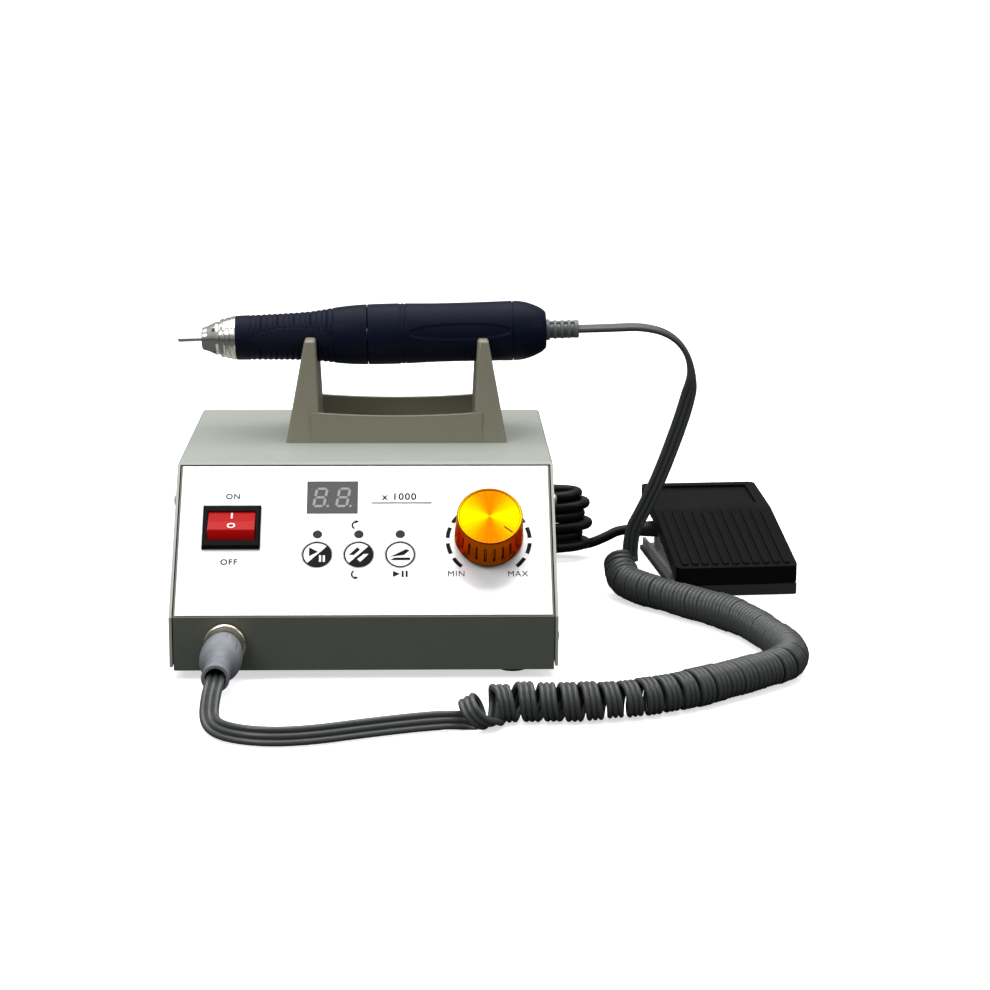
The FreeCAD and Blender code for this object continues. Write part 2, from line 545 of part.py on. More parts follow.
def contact_places():
    for k in range(4):
        angle = math.pi / 4 + math.pi / 2 * k
        yield SOCKET_X + 2.6 * math.cos(angle), SOCKET_Z + 2.6 * math.sin(angle)


def make_socket_contacts():
    carrier = rod(5.0, (SOCKET_X, 8, SOCKET_Z), 6, "y")
    for x, z in contact_places():
        carrier = carrier.fuse(rod(0.7, (x, 1.5, z), 16, "y"))
    return carrier


def make_plug_shell():
    shell = rod(PLUG_SHELL_RADIUS, (SOCKET_X, -9, SOCKET_Z), 15.5, "y")
    tools = [rod(0.75, (x, 1.0, z), 6, "y") for x, z in contact_places()]
    return shell.cut(Part.makeCompound(tools))


def make_plug_boot():
    mouth = PLUG_LENGTH
    outline = [(6.2, 6.9), (9.0, 7.1), (14.0, 8.2), (24.0, BOOT_RADIUS), (30.0, 8.3), (34.0, 7.0),
               (37.0, COLLAR_RADIUS), (mouth - 3, COLLAR_RADIUS), (mouth - 2.4, COLLAR_RADIUS + 0.5),
               (mouth, COLLAR_RADIUS + 0.4)]
    boot = turned(outline)
    boot = boot.cut(rod(PLUG_SHELL_RADIUS, (0, 0, 0), 9, "x"))
    boot = boot.cut(rod(CORD_WIDTH / 2 + 0.3, (mouth - BOOT_MOUTH_DEPTH, 0, 0), BOOT_MOUTH_DEPTH + 1, "x"))
    frame = FreeCAD.Placement(at(SOCKET_X, 0, SOCKET_Z), FreeCAD.Rotation(ALONG["z"], -90))
    return placed(boot, frame)


def make_mains_inlet():
    half_w, half_h = INLET_WIDTH / 2, INLET_HEIGHT / 2
    flange = block(-half_w - 2, half_w + 2, 0, 2.4, -half_h - 2, half_h + 2)
    flange = rounded(flange, 2.0, is_along("y"))
    body = flange.fuse(block(-half_w, half_w, -INLET_DEPTH, 0, -half_h, half_h))
    recess = block(-half_w + 1.8, half_w - 1.8, -INLET_DEPTH + 2, 3, -half_h + 1.8, half_h - 1.8)
    corner = [e for e in recess.Edges if is_along("y")(e) and e.CenterOfMass.z > 0]
    body = body.cut(recess.makeChamfer(3.6, corner))
    for x, z in ((-7.0, -1.0), (7.0, -1.0), (0.0, 3.4)):
        body = body.fuse(block(x - 1.0, x + 1.0, -INLET_DEPTH, -2, z - 2.0, z + 2.0))
    body.translate(at(INLET_X, BOX_DEPTH, INLET_Z))
    return body.removeSplitter()


def make_pedal_jack():
    jack = rod(JACK_RADIUS, (JACK_X, BOX_DEPTH - 1.2, JACK_Z), 6.2, "y")
    jack = jack.fuse(block(JACK_X - 7, JACK_X + 7, BOX_DEPTH - 22, BOX_DEPTH - TRAY_SHEET,
                           JACK_Z - 7, JACK_Z + 7))
    jack = jack.fuse(rod(7.0, (JACK_X, BOX_DEPTH, JACK_Z), 2.4, "y"))
    return jack.cut(rod(3.2, (JACK_X, BOX_DEPTH - 20, JACK_Z), 30, "y"))


def make_jack_plug():
    start = BOX_DEPTH + 5.0
    handle = turned([(0, 5.2), (1.0, 6.2), (JACK_PLUG_LENGTH - 9, 6.2), (JACK_PLUG_LENGTH - 5, 4.4),
                     (JACK_PLUG_LENGTH, 3.6)])
    handle = handle.fuse(turned([(-22, 1.4), (-20.5, 2.6), (-19, 1.9), (-17.5, 3.15), (0, 3.15)]))
    frame = FreeCAD.Placement(at(JACK_X, start, JACK_Z), FreeCAD.Rotation(ALONG["z"], 90))
    return placed(handle.removeSplitter(), frame)


# ------------------------------------------------------------------ inside the box
FLOOR_TOP = FOOT_HEIGHT + TRAY_SHEET
DRIVER = (-14.0, 70.0, 62.0, BOX_DEPTH - 22.0)   # board edges: x0, x1, y0, y1
DRIVER_LIFT = 7.0


def driver_corners():
    x0, x1, y0, y1 = DRIVER
    for x in (x0 + 5, x1 - 5):
        for y in (y0 + 5, y1 - 5):
            yield x, y


def make_driver_board():
    x0, x1, y0, y1 = DRIVER
    base = FLOOR_TOP + DRIVER_LIFT
    return block(x0, x1, y0, y1, base, base + BOARD_THICKNESS)


def make_driver_parts():
    x0, x1, y0, y1 = DRIVER
    base = FLOOR_TOP + DRIVER_LIFT + BOARD_THICKNESS
    parts = [rod(6.25, (x0 + 16, y1 - 16, base), 22), rod(6.25, (x0 + 31, y1 - 16, base), 22),
             rod(4.0, (x0 + 14, y0 + 14, base), 12), block(x0 + 28, x0 + 44, y0 + 20, y0 + 36, base, base + 4)]
    for k in range(6):
        y = y0 + 14 + 9 * k
        parts.append(block(x1 - 19, x1 - 14.5, y, y + 6, base, base + 14))
    sink = block(x1 - 14.5, x1 - 11.5, y0 + 10, y1 - 26, base, base + 24)
    for k in range(6):
        z = base + 2 + k * 4
        sink = sink.fuse(block(x1 - 11.5, x1 - 3, y0 + 10, y1 - 26, z, z + 1.4))
    return Part.makeCompound(parts + [sink.removeSplitter()])


CORE_BACK = BOX_DEPTH - 46.0
CORE_FRONT = CORE_BACK - 42.0
COIL_OVERHANG = 8.0


def make_transformer_core():
    outer = block(-72, -24, CORE_FRONT, CORE_BACK, FLOOR_TOP, FLOOR_TOP + 40)
    windows = [block(x, x + 10, CORE_FRONT - 1, CORE_BACK + 1, FLOOR_TOP + 9, FLOOR_TOP + 31)
               for x in (-62, -44)]
    return outer.cut(windows[0]).cut(windows[1])


def make_transformer_coil():
    coil = block(-62, -34, CORE_FRONT - COIL_OVERHANG, CORE_BACK + COIL_OVERHANG,
                 FLOOR_TOP + 9, FLOOR_TOP + 31)
    coil = rounded(coil, 4.0, is_along("z"))
    return coil.cut(block(-52, -44, CORE_FRONT, CORE_BACK, FLOOR_TOP + 8, FLOOR_TOP + 32))


# ------------------------------------------------------------------ cradle
def cradle_screw_places():
    for offset in (-26.0, 26.0):
        yield CRADLE_X + offset, CRADLE_Y + CRADLE_DEPTH / 2


def hand_radius(s):
    """Outer radius of the handpiece at s along its axis."""
    table = SLEEVE_OUTLINE + HOUSING_OUTLINE
    for (s0, r0), (s1, r1) in zip(table, table[1:]):
        if s0 <= s <= s1:
            return r0 + (r1 - r0) * (s - s0) / max(s1 - s0, 1e-6)
    return table[-1][1]


def make_post(side):
    """One end of the cradle: a tapering post with a notch that the handpiece lies in."""
    top_x = CRADLE_X + side * POST_SPACING / 2
    outer_x = CRADLE_X + side * CRADLE_LENGTH / 2
    inner_x = outer_x - side * POST_BASE
    lid, top = BOX_HEIGHT, BOX_HEIGHT + POST_HEIGHT
    front, back = CRADLE_Y, CRADLE_Y + CRADLE_DEPTH

    def level(x0, x1, lean, z):
        corners = [at(x0, front + lean, z), at(x1, front + lean, z), at(x1, back - lean, z),
                   at(x0, back - lean, z)]
        return Part.makePolygon(corners + corners[:1])

    post = Part.makeLoft([level(inner_x, outer_x, 0, lid),
                          level(top_x - side * POST_TOP / 2, top_x + side * POST_TOP / 2, POST_LEAN, top)],
                         True, True)
    post = rounded(post, 1.4, lambda e: e.CenterOfMass.z > lid + 1)
    slope = math.tan(math.radians(HAND_TILT))
    axis_z = HAND_Z + (top_x - HAND_X) * slope
    widest = max(hand_radius(top_x - HAND_X + d) for d in (-4.0, 0.0, 4.0))
    radius = widest + REST_CLEARANCE
    notch = rod(radius, (top_x - 15, HAND_Y, axis_z), 30, "x")
    notch = notch.fuse(block(top_x - 15, top_x + 15, HAND_Y - radius, HAND_Y + radius, axis_z, top + 10))
    return post.cut(notch)


def make_cradle():
    x0, x1 = CRADLE_X - CRADLE_LENGTH / 2 + POST_BASE - 4, CRADLE_X + CRADLE_LENGTH / 2 - POST_BASE + 4
    lid = BOX_HEIGHT
    top = lid + RAIL_HEIGHT
    ends = [at(x0, 0, top), at(x1, 0, top)]
    sag = Part.Arc(ends[1], at(CRADLE_X, 0, top - RAIL_SAG), ends[0]).toShape()
    sides = Part.makePolygon([ends[0], at(x0, 0, lid), at(x1, 0, lid), ends[1]])
    rail = Part.Face(Part.Wire(sides.Edges + [sag])).extrude(at(0, RAIL_THICKNESS, 0))
    front, back = rail.copy(), rail.copy()
    front.translate(at(0, CRADLE_Y, 0))
    back.translate(at(0, CRADLE_Y + CRADLE_DEPTH - RAIL_THICKNESS, 0))
    floor = block(x0, x1, CRADLE_Y, CRADLE_Y + CRADLE_DEPTH, lid, lid + CRADLE_FLOOR)
    cradle = floor.fuse([front, back, make_post(-1), make_post(1)])
    for x, y in cradle_screw_places():
        cradle = cradle.fuse(rod(4.0, (x, y, lid), 6.0))
        cradle = cradle.cut(rod(SCREW_RADIUS, (x, y, lid - 1), 6.0))
    return cradle.removeSplitter()


def make_cradle_screws():
    screws = []
    for x, y in cradle_screw_places():
        head = rod(SCREW_HEAD_RADIUS, (x, y, LID_UNDERSIDE - SCREW_HEAD_HEIGHT), SCREW_HEAD_HEIGHT)
        screws.append(head.fuse(rod(SCREW_RADIUS, (x, y, LID_UNDERSIDE), COVER_SHEET + 4.5)))
    return Part.makeCompound(screws)


# ------------------------------------------------------------------ handpiece
def hollow(outline, wall):
    """A turned shell of even wall whose outside runs smoothly through the outline."""
    inner = [(s, r - wall) for s, r in outline]
    return turned_curve(outline).cut(turned_curve(inner))


def make_mandrel():
    pin = turned([(-MANDREL_OUT, 0.9), (-MANDREL_OUT + 0.3, MANDREL_RADIUS), (16, MANDREL_RADIUS)])
    return placed(pin, HAND_FRAME)


def make_collet():
    collet = turned([(0.6, 2.1), (1.2, 2.4), (18, 2.4)]).cut(rod(MANDREL_RADIUS, (0, 0, 0), 16, "x"))
    collet = collet.cut(block(0, 10, -0.15, 0.15, -3, 3)).cut(block(0, 10, -3, 3, -0.15, 0.15))
    return placed(collet, HAND_FRAME)


def make_spindle():
    shaft = rod(SPINDLE_RADIUS, (1.4, 0, 0), 127.6, "x").cut(rod(2.4, (0, 0, 0), 18, "x"))
    return placed(shaft, HAND_FRAME)


def make_nose_cone():
    """The chuck's nose and its stepped ring, one turned piece."""
    end = NOSE_LENGTH
    outline = [(0, NOSE_FRONT_RADIUS - 0.5), (0.5, NOSE_FRONT_RADIUS), (2.5, NOSE_FRONT_RADIUS + 0.6),
               (end - 1.6, NOSE_REAR_RADIUS), (end - 0.4, NOSE_REAR_RADIUS - 0.3), (end, NOSE_REAR_RADIUS),
               (end + 0.4, NOSE_REAR_RADIUS + 0.9), (end + 1.6, 8.9), (end + 2.0, 8.6), (end + 2.6, 8.6),
               (end + 3.0, 9.2), (end + 4.4, 9.5), (end + 4.8, 9.2), (end + 5.2, 9.7),
               (RING_END - 0.6, RING_RADIUS), (RING_END, RING_RADIUS - 0.2)]
    nose = turned(outline).cut(rod(SPINDLE_RADIUS + 0.5, (-1, 0, 0), end + 2, "x"))
    nose = nose.cut(rod(5.0, (end, 0, 0), 20, "x"))
    for k in range(4):
        slot = block(4.9, 6.6, -1.5, 1.5, 4.4, 9)
        slot.rotate(at(0, 0, 0), ALONG["x"], 45 + 90 * k)
        nose = nose.cut(slot)
    return placed(nose, HAND_FRAME)


def make_grip_sleeve():
    sleeve = hollow(SLEEVE_OUTLINE, HAND_WALL)
    collar = ring(9.2, QUILL_RADIUS + 0.06, (16.4, 0, 0), 5.0, "x")
    bore = rod(QUILL_RADIUS + 0.06, (15, 0, 0), SLEEVE_END - 14, "x")
    sleeve = sleeve.cut(bore).fuse(collar)
    return placed(sleeve, HAND_FRAME)


def make_motor_housing():
    """The motor's shell with a bulkhead and the quill that reaches forward inside the grip."""
    housing = hollow(HOUSING_OUTLINE, HAND_WALL)
    front = HOUSING_OUTLINE[0][0]
    bulkhead = rod(12.4, (front + 0.6, 0, 0), 3.0, "x")
    quill = rod(QUILL_RADIUS, (18.0, 0, 0), front + 3.6 - 18.0, "x")
    carrier = bulkhead.fuse(quill).cut(rod(BEARINGS[0][1], (17, 0, 0), 80, "x"))
    return placed(housing.fuse(carrier), HAND_FRAME)


def make_end_cap():
    start, end = HOUSING_END + 0.4, HAND_LENGTH
    outside = [(start, 13.6), (start + 5.5, 13.1), (start + 10.0, 11.6), (end - 1.4, 9.6),
               (end, CAP_END_RADIUS)]
    cap = turned_curve(outside).fuse(rod(12.9, (HOUSING_END, 0, 0), 1.0, "x"))
    cap = cap.cut(rod(9.6, (start - 1, 0, 0), 7.0, "x")).cut(rod(RELIEF_RADIUS - 0.8, (start, 0, 0), 30, "x"))
    return placed(cap, HAND_FRAME)


def make_bearings():
    races = []
    for start, outer in BEARINGS:
        races.append(placed(ring(outer, SPINDLE_RADIUS + 0.05, (start, 0, 0), 5.0, "x"), HAND_FRAME))
    return Part.makeCompound(races)


def make_stator():
    return placed(ring(MOTOR_BORE - STATOR_CLEARANCE, 7.6, (84, 0, 0), 34, "x"), HAND_FRAME)


def make_rotor():
    return placed(ring(7.0, SPINDLE_RADIUS, (85, 0, 0), 32, "x"), HAND_FRAME)


def make_strain_relief():
    start, end = HAND_LENGTH, HAND_LENGTH + RELIEF_LENGTH
    relief = turned([(start, RELIEF_RADIUS + 0.6), (start + 1.6, RELIEF_RADIUS + 0.6),
                     (start + 1.6, RELIEF_RADIUS), (end - 0.6, RELIEF_RADIUS - 0.1),
                     (end, RELIEF_RADIUS - 0.5)])
    relief = relief.fuse(rod(RELIEF_RADIUS - 0.8, (start - 8, 0, 0), 8, "x"))
    for k in range(4):
        s = start + 2.6 + 3.1 * k
        for side in (-1, 1):
            y = side * RELIEF_RADIUS
            relief = relief.cut(block(s, s + 1.5, min(y, y * 0.4), max(y, y * 0.4), -1.8, 1.8))
    return placed(relief, HAND_FRAME)


# ------------------------------------------------------------------ pedal
def treadle_top(drop):
    return [(drop, PEDAL_FRONT_HEIGHT - drop), (PEDAL_FOLD_Y, PEDAL_FOLD_HEIGHT - drop * 1.03),
            (PEDAL_LENGTH - drop, PEDAL_REAR_HEIGHT - drop)]


def make_treadle():
    outer = [(0, PEDAL_LIP_BOTTOM)] + treadle_top(0)
    side = outer + [(PEDAL_LENGTH, PEDAL_REAR_HEIGHT - PEDAL_SKIRT),
                    (PEDAL_FOLD_Y, PEDAL_FOLD_HEIGHT - PEDAL_SKIRT), (8.0, PEDAL_FRONT_HEIGHT - PEDAL_SKIRT + 1.6),
                    (3.0, PEDAL_LIP_BOTTOM)]
    shell = slab(side, 0, PEDAL_WIDTH)
    inside = treadle_top(PEDAL_SKIN)
    cavity = [(PEDAL_SKIN, 0)] + inside + [(PEDAL_LENGTH - PEDAL_SKIN, 0)]
    shell = shell.cut(slab(cavity, PEDAL_SKIN, PEDAL_WIDTH - 2 * PEDAL_SKIN))
    shell = rounded(shell, 3.0, lambda e: is_along("z")(e) and e.BoundBox.ZLength > 5
                    and abs(e.CenterOfMass.x - PEDAL_WIDTH / 2) > PEDAL_WIDTH / 2 - 0.1)
    recess_drop = 1.0
    length = math.hypot(PEDAL_LENGTH - PEDAL_FOLD_Y, PEDAL_REAR_HEIGHT - PEDAL_FOLD_HEIGHT)
    recess = block(5.5, PEDAL_WIDTH - 5.5, 8.0, length - 4.5, -recess_drop, 2)
    lean = math.degrees(math.atan2(PEDAL_REAR_HEIGHT - PEDAL_FOLD_HEIGHT, PEDAL_LENGTH - PEDAL_FOLD_Y))
    shell = shell.cut(placed(recess, FreeCAD.Placement(at(0, PEDAL_FOLD_Y, PEDAL_FOLD_HEIGHT),
                                                       FreeCAD.Rotation(ALONG["x"], lean))))
    lug = [(HINGE_Y - 5, HINGE_Z), (HINGE_Y - 5, 16), (HINGE_Y + 8, 20), (HINGE_Y + 5, HINGE_Z)]
    for x in (10.0, PEDAL_WIDTH - 13.0):
        shell = shell.fuse(slab(lug, x, 3.0)).fuse(rod(5.0, (x, HINGE_Y, HINGE_Z), 3.0, "x"))
        shell = shell.cut(rod(HINGE_RADIUS + HINGE_CLEARANCE, (x - 1, HINGE_Y, HINGE_Z), 5.0, "x"))
    boss_top = 30.0
    shell = shell.fuse(rod(3.0, (PEDAL_WIDTH / 2, 83, PLUNGER_TOP + PRESS_DROP - 1.3), boss_top - PLUNGER_TOP
                           - PRESS_DROP + 1.3))
    return placed(shell.removeSplitter(), PEDAL_FRAME)


SWITCH_BASE = MAT_THICKNESS + BASE_SHEET
SWITCH_HEIGHT = 10.0
PLUNGER_TOP = SWITCH_BASE + SWITCH_HEIGHT + 2.2
PRESS_DROP = (83.0 - HINGE_Y) * math.sin(math.radians(PEDAL_PRESS))


def make_pedal_mat():
    outline = [(0, 0), (PEDAL_LENGTH - 1, 0), (PEDAL_LENGTH - 1, MAT_THICKNESS), (2.6, MAT_THICKNESS),
               (2.6, MAT_LIP_HEIGHT), (0, MAT_LIP_HEIGHT)]
    mat = slab(outline, 0, PEDAL_WIDTH)
    mat = rounded(mat, 2.4, lambda e: is_along("z")(e) and e.CenterOfMass.y < 0.1)
    return placed(mat, PEDAL_FRAME)


def make_pedal_base():
    z0 = MAT_THICKNESS
    z1 = z0 + BASE_SHEET
    base = block(1.0, PEDAL_WIDTH - 1.0, 2.8, PEDAL_LENGTH - 3, z0, z1)
    wall = [(14, z0), (14, HINGE_Z), (HINGE_Y - 6, HINGE_Z + 4.4), (HINGE_Y + 6, HINGE_Z + 4.4),
            (HINGE_Y + 14, 9.0), (GLAND_Y - 9, 8.0), (GLAND_Y - 7, GLAND_Z + GLAND_RADIUS + 0.8),
            (GLAND_Y + 7, GLAND_Z + GLAND_RADIUS + 0.8), (GLAND_Y + 7, z0)]
    for x in (6.0, PEDAL_WIDTH - 6.0 - BASE_SHEET):
        base = base.fuse(slab(wall, x, BASE_SHEET))
        base = base.cut(rod(HINGE_RADIUS, (x - 1, HINGE_Y, HINGE_Z), BASE_SHEET + 2, "x"))
    for x in (1.0, PEDAL_WIDTH - 1.0 - BASE_SHEET):
        base = base.fuse(block(x, x + BASE_SHEET, 20, PEDAL_LENGTH - 3, z0, z0 + BASE_RIM_HEIGHT))
    base = base.cut(rod(GLAND_RADIUS, (5.0, GLAND_Y, GLAND_Z), 4, "x"))
    return placed(base.removeSplitter(), PEDAL_FRAME)


def make_hinge_pin():
    pin = rod(HINGE_RADIUS, (5.0, HINGE_Y, HINGE_Z), PEDAL_WIDTH - 10, "x")
    for x in (4.0, PEDAL_WIDTH - 5.0):
        pin = pin.fuse(rod(HINGE_RADIUS + 1.2, (x, HINGE_Y, HINGE_Z), 1.0, "x"))
    return placed(pin.removeSplitter(), PEDAL_FRAME)


def make_return_spring():
    coil_radius, wire, turns = 5.0, 0.6, 5
    low = SWITCH_BASE + wire
    seat = PEDAL_FOLD_HEIGHT + (PEDAL_REAR_HEIGHT - PEDAL_FOLD_HEIGHT) * 0.2 - PEDAL_SKIN
    height = seat - 1.6 - wire - low
    helix = Part.makeHelix(height / turns, height, coil_radius)
    helix.translate(at(PEDAL_WIDTH / 2, 68, low))
    start = Part.Circle(at(PEDAL_WIDTH / 2 + coil_radius, 68, low), ALONG["y"], wire).toShape()
    spring = Part.Wire(helix.Edges).makePipeShell([Part.Wire(start)], True, True)
    return placed(spring, PEDAL_FRAME)


def make_pedal_switch():
    x = PEDAL_WIDTH / 2
    body = block(x - 10, x + 10, 79.8, 86.2, SWITCH_BASE, SWITCH_BASE + SWITCH_HEIGHT)
    body = body.cut(rod(1.6, (x, 83, SWITCH_BASE + SWITCH_HEIGHT - 4), 5))
    return placed(body, PEDAL_FRAME)


def make_switch_plunger():
    x = PEDAL_WIDTH / 2
    low = SWITCH_BASE + SWITCH_HEIGHT - 4 + PLUNGER_TRAVEL + 0.3
    return placed(rod(1.5, (x, 83, low), PLUNGER_TOP - low), PEDAL_FRAME)


def make_pedal_gland():
    gland = turned([(-GLAND_OUT, 3.1), (-GLAND_OUT + 0.6, 3.5), (4.6, 4.2), (6.0, 4.2),
                    (6.0, GLAND_RADIUS), (8.6, GLAND_RADIUS)])
    gland.translate(at(0, GLAND_Y, GLAND_Z))
    return placed(gland, PEDAL_FRAME)


# ------------------------------------------------------------------ cords
def make_hank():
    whole = block(HANK_X0, HANK_X1, HANK_Y0, HANK_Y1, 0, HANK_HEIGHT)
    return whole.makeFillet(HANK_ROUNDING, whole.Edges)


def hank_groove(hank):
    cut = block(TIE_X - TIE_WIDTH / 2, TIE_X + TIE_WIDTH / 2, HANK_Y0 - 1, HANK_Y1 + 1, -1, HANK_HEIGHT + 1)
    core = block(TIE_X - TIE_WIDTH, TIE_X + TIE_WIDTH, HANK_Y0 + TIE_THICKNESS, HANK_Y1 - TIE_THICKNESS,
                 TIE_THICKNESS, HANK_HEIGHT - TIE_THICKNESS)
    core = rounded(core, HANK_ROUNDING - TIE_THICKNESS, is_along("x"))
    groove = cut.cut(core)
    return hank.cut(groove), hank.common(groove)


def make_cords():
    mouth = (SOCKET_X, -PLUG_LENGTH + BOOT_MOUTH_DEPTH, SOCKET_Z)
    coil = cord("motor_coil", COIL_ROUTE, COIL_RADIUS)
    lead = cord("motor_lead", [mouth] + LEAD_ROUTE, CORD_WIDTH / 2).cut(coil)
    tail = HAND_LENGTH + RELIEF_LENGTH
    tail = [tuple(in_box(s, 0, 0, HAND_FRAME)) for s in (tail + 15.0, tail)]
    riser = cord("motor_riser", RISER_ROUTE + tail, CORD_WIDTH / 2).cut(coil)
    hank, tie = hank_groove(make_hank())
    gland = [tuple(in_box(-GLAND_OUT - reach, GLAND_Y, GLAND_Z, PEDAL_FRAME)) for reach in (0.0, 8.0)]
    radius = PEDAL_LEAD_DIAMETER / 2
    pedal_lead = cord("pedal_lead", gland + PEDAL_LEAD_ROUTE, radius).cut(hank)
    plug = (JACK_X, BOX_DEPTH + 5.0 + JACK_PLUG_LENGTH, JACK_Z)
    jack_lead = cord("jack_lead", [plug] + JACK_LEAD_ROUTE, radius).cut(hank)
    return {"motor_lead": lead, "motor_coil": coil, "motor_riser": riser, "pedal_lead": pedal_lead,
            "pedal_hank": hank, "hank_tie": tie, "jack_lead": jack_lead}


# ------------------------------------------------------------------ the set
def build():
    own = {
        "base_tray": make_tray(), "cover_hood": make_cover(), "cover_screws": make_cover_screws(),
        "rubber_feet": make_feet(), "panel_overlay": make_overlay(), "switch_housing": make_switch_housing(),
        "switch_rocker": make_rocker(),
        "display_window": make_display_window(), "display_module": make_display_module(),
        "key_switches": make_key_switches(), "status_leds": make_status_leds(),
        "control_board": make_control_board(), "board_spacers": make_board_spacers(),
        "potentiometer": make_potentiometer(), "pot_shaft": make_pot_shaft(),
        "knob_insert": make_knob_insert(), "speed_knob": make_knob(),
        "motor_socket": make_socket(), "socket_nut": make_socket_nut(),
        "socket_contacts": make_socket_contacts(), "mains_inlet": make_mains_inlet(),
        "pedal_jack": make_pedal_jack(), "driver_board": make_driver_board(),
        "driver_parts": make_driver_parts(),
        "transformer_core": make_transformer_core(), "transformer_coil": make_transformer_coil(),
        "cradle": make_cradle(), "cradle_screws": make_cradle_screws(),
        "mandrel": make_mandrel(), "collet": make_collet(), "spindle": make_spindle(),
        "nose_cone": make_nose_cone(), "grip_sleeve": make_grip_sleeve(), "bearings": make_bearings(),
        "stator": make_stator(), "rotor": make_rotor(), "motor_housing": make_motor_housing(),
        "end_cap": make_end_cap(), "cord_relief": make_strain_relief(),
        "pedal_treadle": make_treadle(), "pedal_base": make_pedal_base(), "pedal_mat": make_pedal_mat(),
        "hinge_pin": make_hinge_pin(), "return_spring": make_return_spring(),
        "pedal_switch": make_pedal_switch(), "switch_plunger": make_switch_plunger(),
        "pedal_gland": make_pedal_gland()}
    own.update({name: make_key(u) for name, u in KEY_US.items()})
    on_cords = {"plug_shell": make_plug_shell(), "plug_boot": make_plug_boot(), "jack_plug": make_jack_plug()}
    on_cords.update(make_cords())
    return own, on_cords


def main():
    os.makedirs("parts", exist_ok=True)
    own, on_cords = build()
    box = Part.makeCompound(list(own.values())).optimalBoundingBox()
    shift = at(-(box.XMin + box.XMax) / 2, -(box.YMin + box.YMax) / 2, -box.ZMin)
    print("shift", shift, "sides", box.XLength, box.YLength, box.ZLength)
    for name, shape in {**own, **on_cords}.items():
        shape = shape.copy()
        shape.translate(shift)
        if not shape.isValid():
            print("not valid:", name)
        shape.exportStep(f"parts/{name}.step")
    print(len(own) + len(on_cords), "nodes")


main()
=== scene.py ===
"""Bench micromotor set: control box, cradle, handpiece, curly cord and foot pedal."""
import math

import bmesh
import bpy
from mathutils import Matrix, Vector


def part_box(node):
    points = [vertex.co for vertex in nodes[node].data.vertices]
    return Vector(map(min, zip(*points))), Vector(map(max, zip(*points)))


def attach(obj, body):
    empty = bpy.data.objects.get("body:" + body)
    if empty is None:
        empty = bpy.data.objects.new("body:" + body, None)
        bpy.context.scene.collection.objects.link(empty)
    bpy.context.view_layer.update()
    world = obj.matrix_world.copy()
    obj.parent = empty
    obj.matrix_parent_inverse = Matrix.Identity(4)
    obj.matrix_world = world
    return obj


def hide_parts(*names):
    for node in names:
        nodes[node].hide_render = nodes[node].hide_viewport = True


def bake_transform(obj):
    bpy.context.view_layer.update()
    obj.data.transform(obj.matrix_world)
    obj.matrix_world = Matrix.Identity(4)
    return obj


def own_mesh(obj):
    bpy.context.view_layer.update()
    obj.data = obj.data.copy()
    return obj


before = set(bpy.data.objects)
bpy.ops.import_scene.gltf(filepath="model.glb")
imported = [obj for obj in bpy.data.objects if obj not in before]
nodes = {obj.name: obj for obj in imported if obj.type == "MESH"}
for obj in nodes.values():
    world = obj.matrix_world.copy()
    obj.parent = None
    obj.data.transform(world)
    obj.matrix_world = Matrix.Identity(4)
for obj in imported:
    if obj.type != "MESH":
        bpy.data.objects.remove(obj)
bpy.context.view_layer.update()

MM = 0.001

# ---------------------------------------------------------------- places
TRAY_LOW, TRAY_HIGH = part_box("base_tray")
BOX_X = (TRAY_LOW[0] + TRAY_HIGH[0]) / 2
BOX_Y = TRAY_LOW[1]
FOLD_HEIGHT = 27.0
PANEL_SLOPE = math.atan2(82.5 - FOLD_HEIGHT, 54.5)
HAND_NOSE = (-76.0, 121.9, 126.2)
HAND_TILT = math.radians(1.53)
PEDAL_CORNER = (145.7, 134.0)
PEDAL_TURN = math.radians(5.0)
PEDAL_HINGE = (29.5, 26.0, 9.3)
KNOB_CENTRE = (52.9, 37.6)
POINTER_ANGLE = math.radians(-40)
MOTOR_PLUG_X, MOTOR_PLUG_Z = -58.2, 15.9


def at(x, y, z):
    """A point from millimetres in the box's own frame: middle of the skirt's face, on the desk."""
    return Vector((BOX_X + x * MM, BOX_Y + y * MM, z * MM))


def on_panel(u, v, w=0.0):
    """u across, v up the slope from the fold, w out of the panel."""
    rise, run = math.sin(PANEL_SLOPE), math.cos(PANEL_SLOPE)
    return at(u, v * run - w * rise, FOLD_HEIGHT + v * rise + w * run)


def on_hand(s, across, up):
    """s along the handpiece from its nose, then towards the back and up."""
    x, y, z = HAND_NOSE
    c, t = math.cos(HAND_TILT), math.sin(HAND_TILT)
    return at(x + s * c - up * t, y + across, z + s * t + up * c)


def round_hand(s, a, b):
    """Where a turned piece of the handpiece has its points."""
    return on_hand(s, -a, b)


def on_pedal(x, y, z):
    """Across, along and up from the pedal's front left corner."""
    c, s = math.cos(PEDAL_TURN), math.sin(PEDAL_TURN)
    return at(PEDAL_CORNER[0] + x * c - y * s, PEDAL_CORNER[1] + x * s + y * c, z)


def add_object(name, data):
    obj = bpy.data.objects.new(name, data)
    bpy.context.collection.objects.link(obj)
    return obj


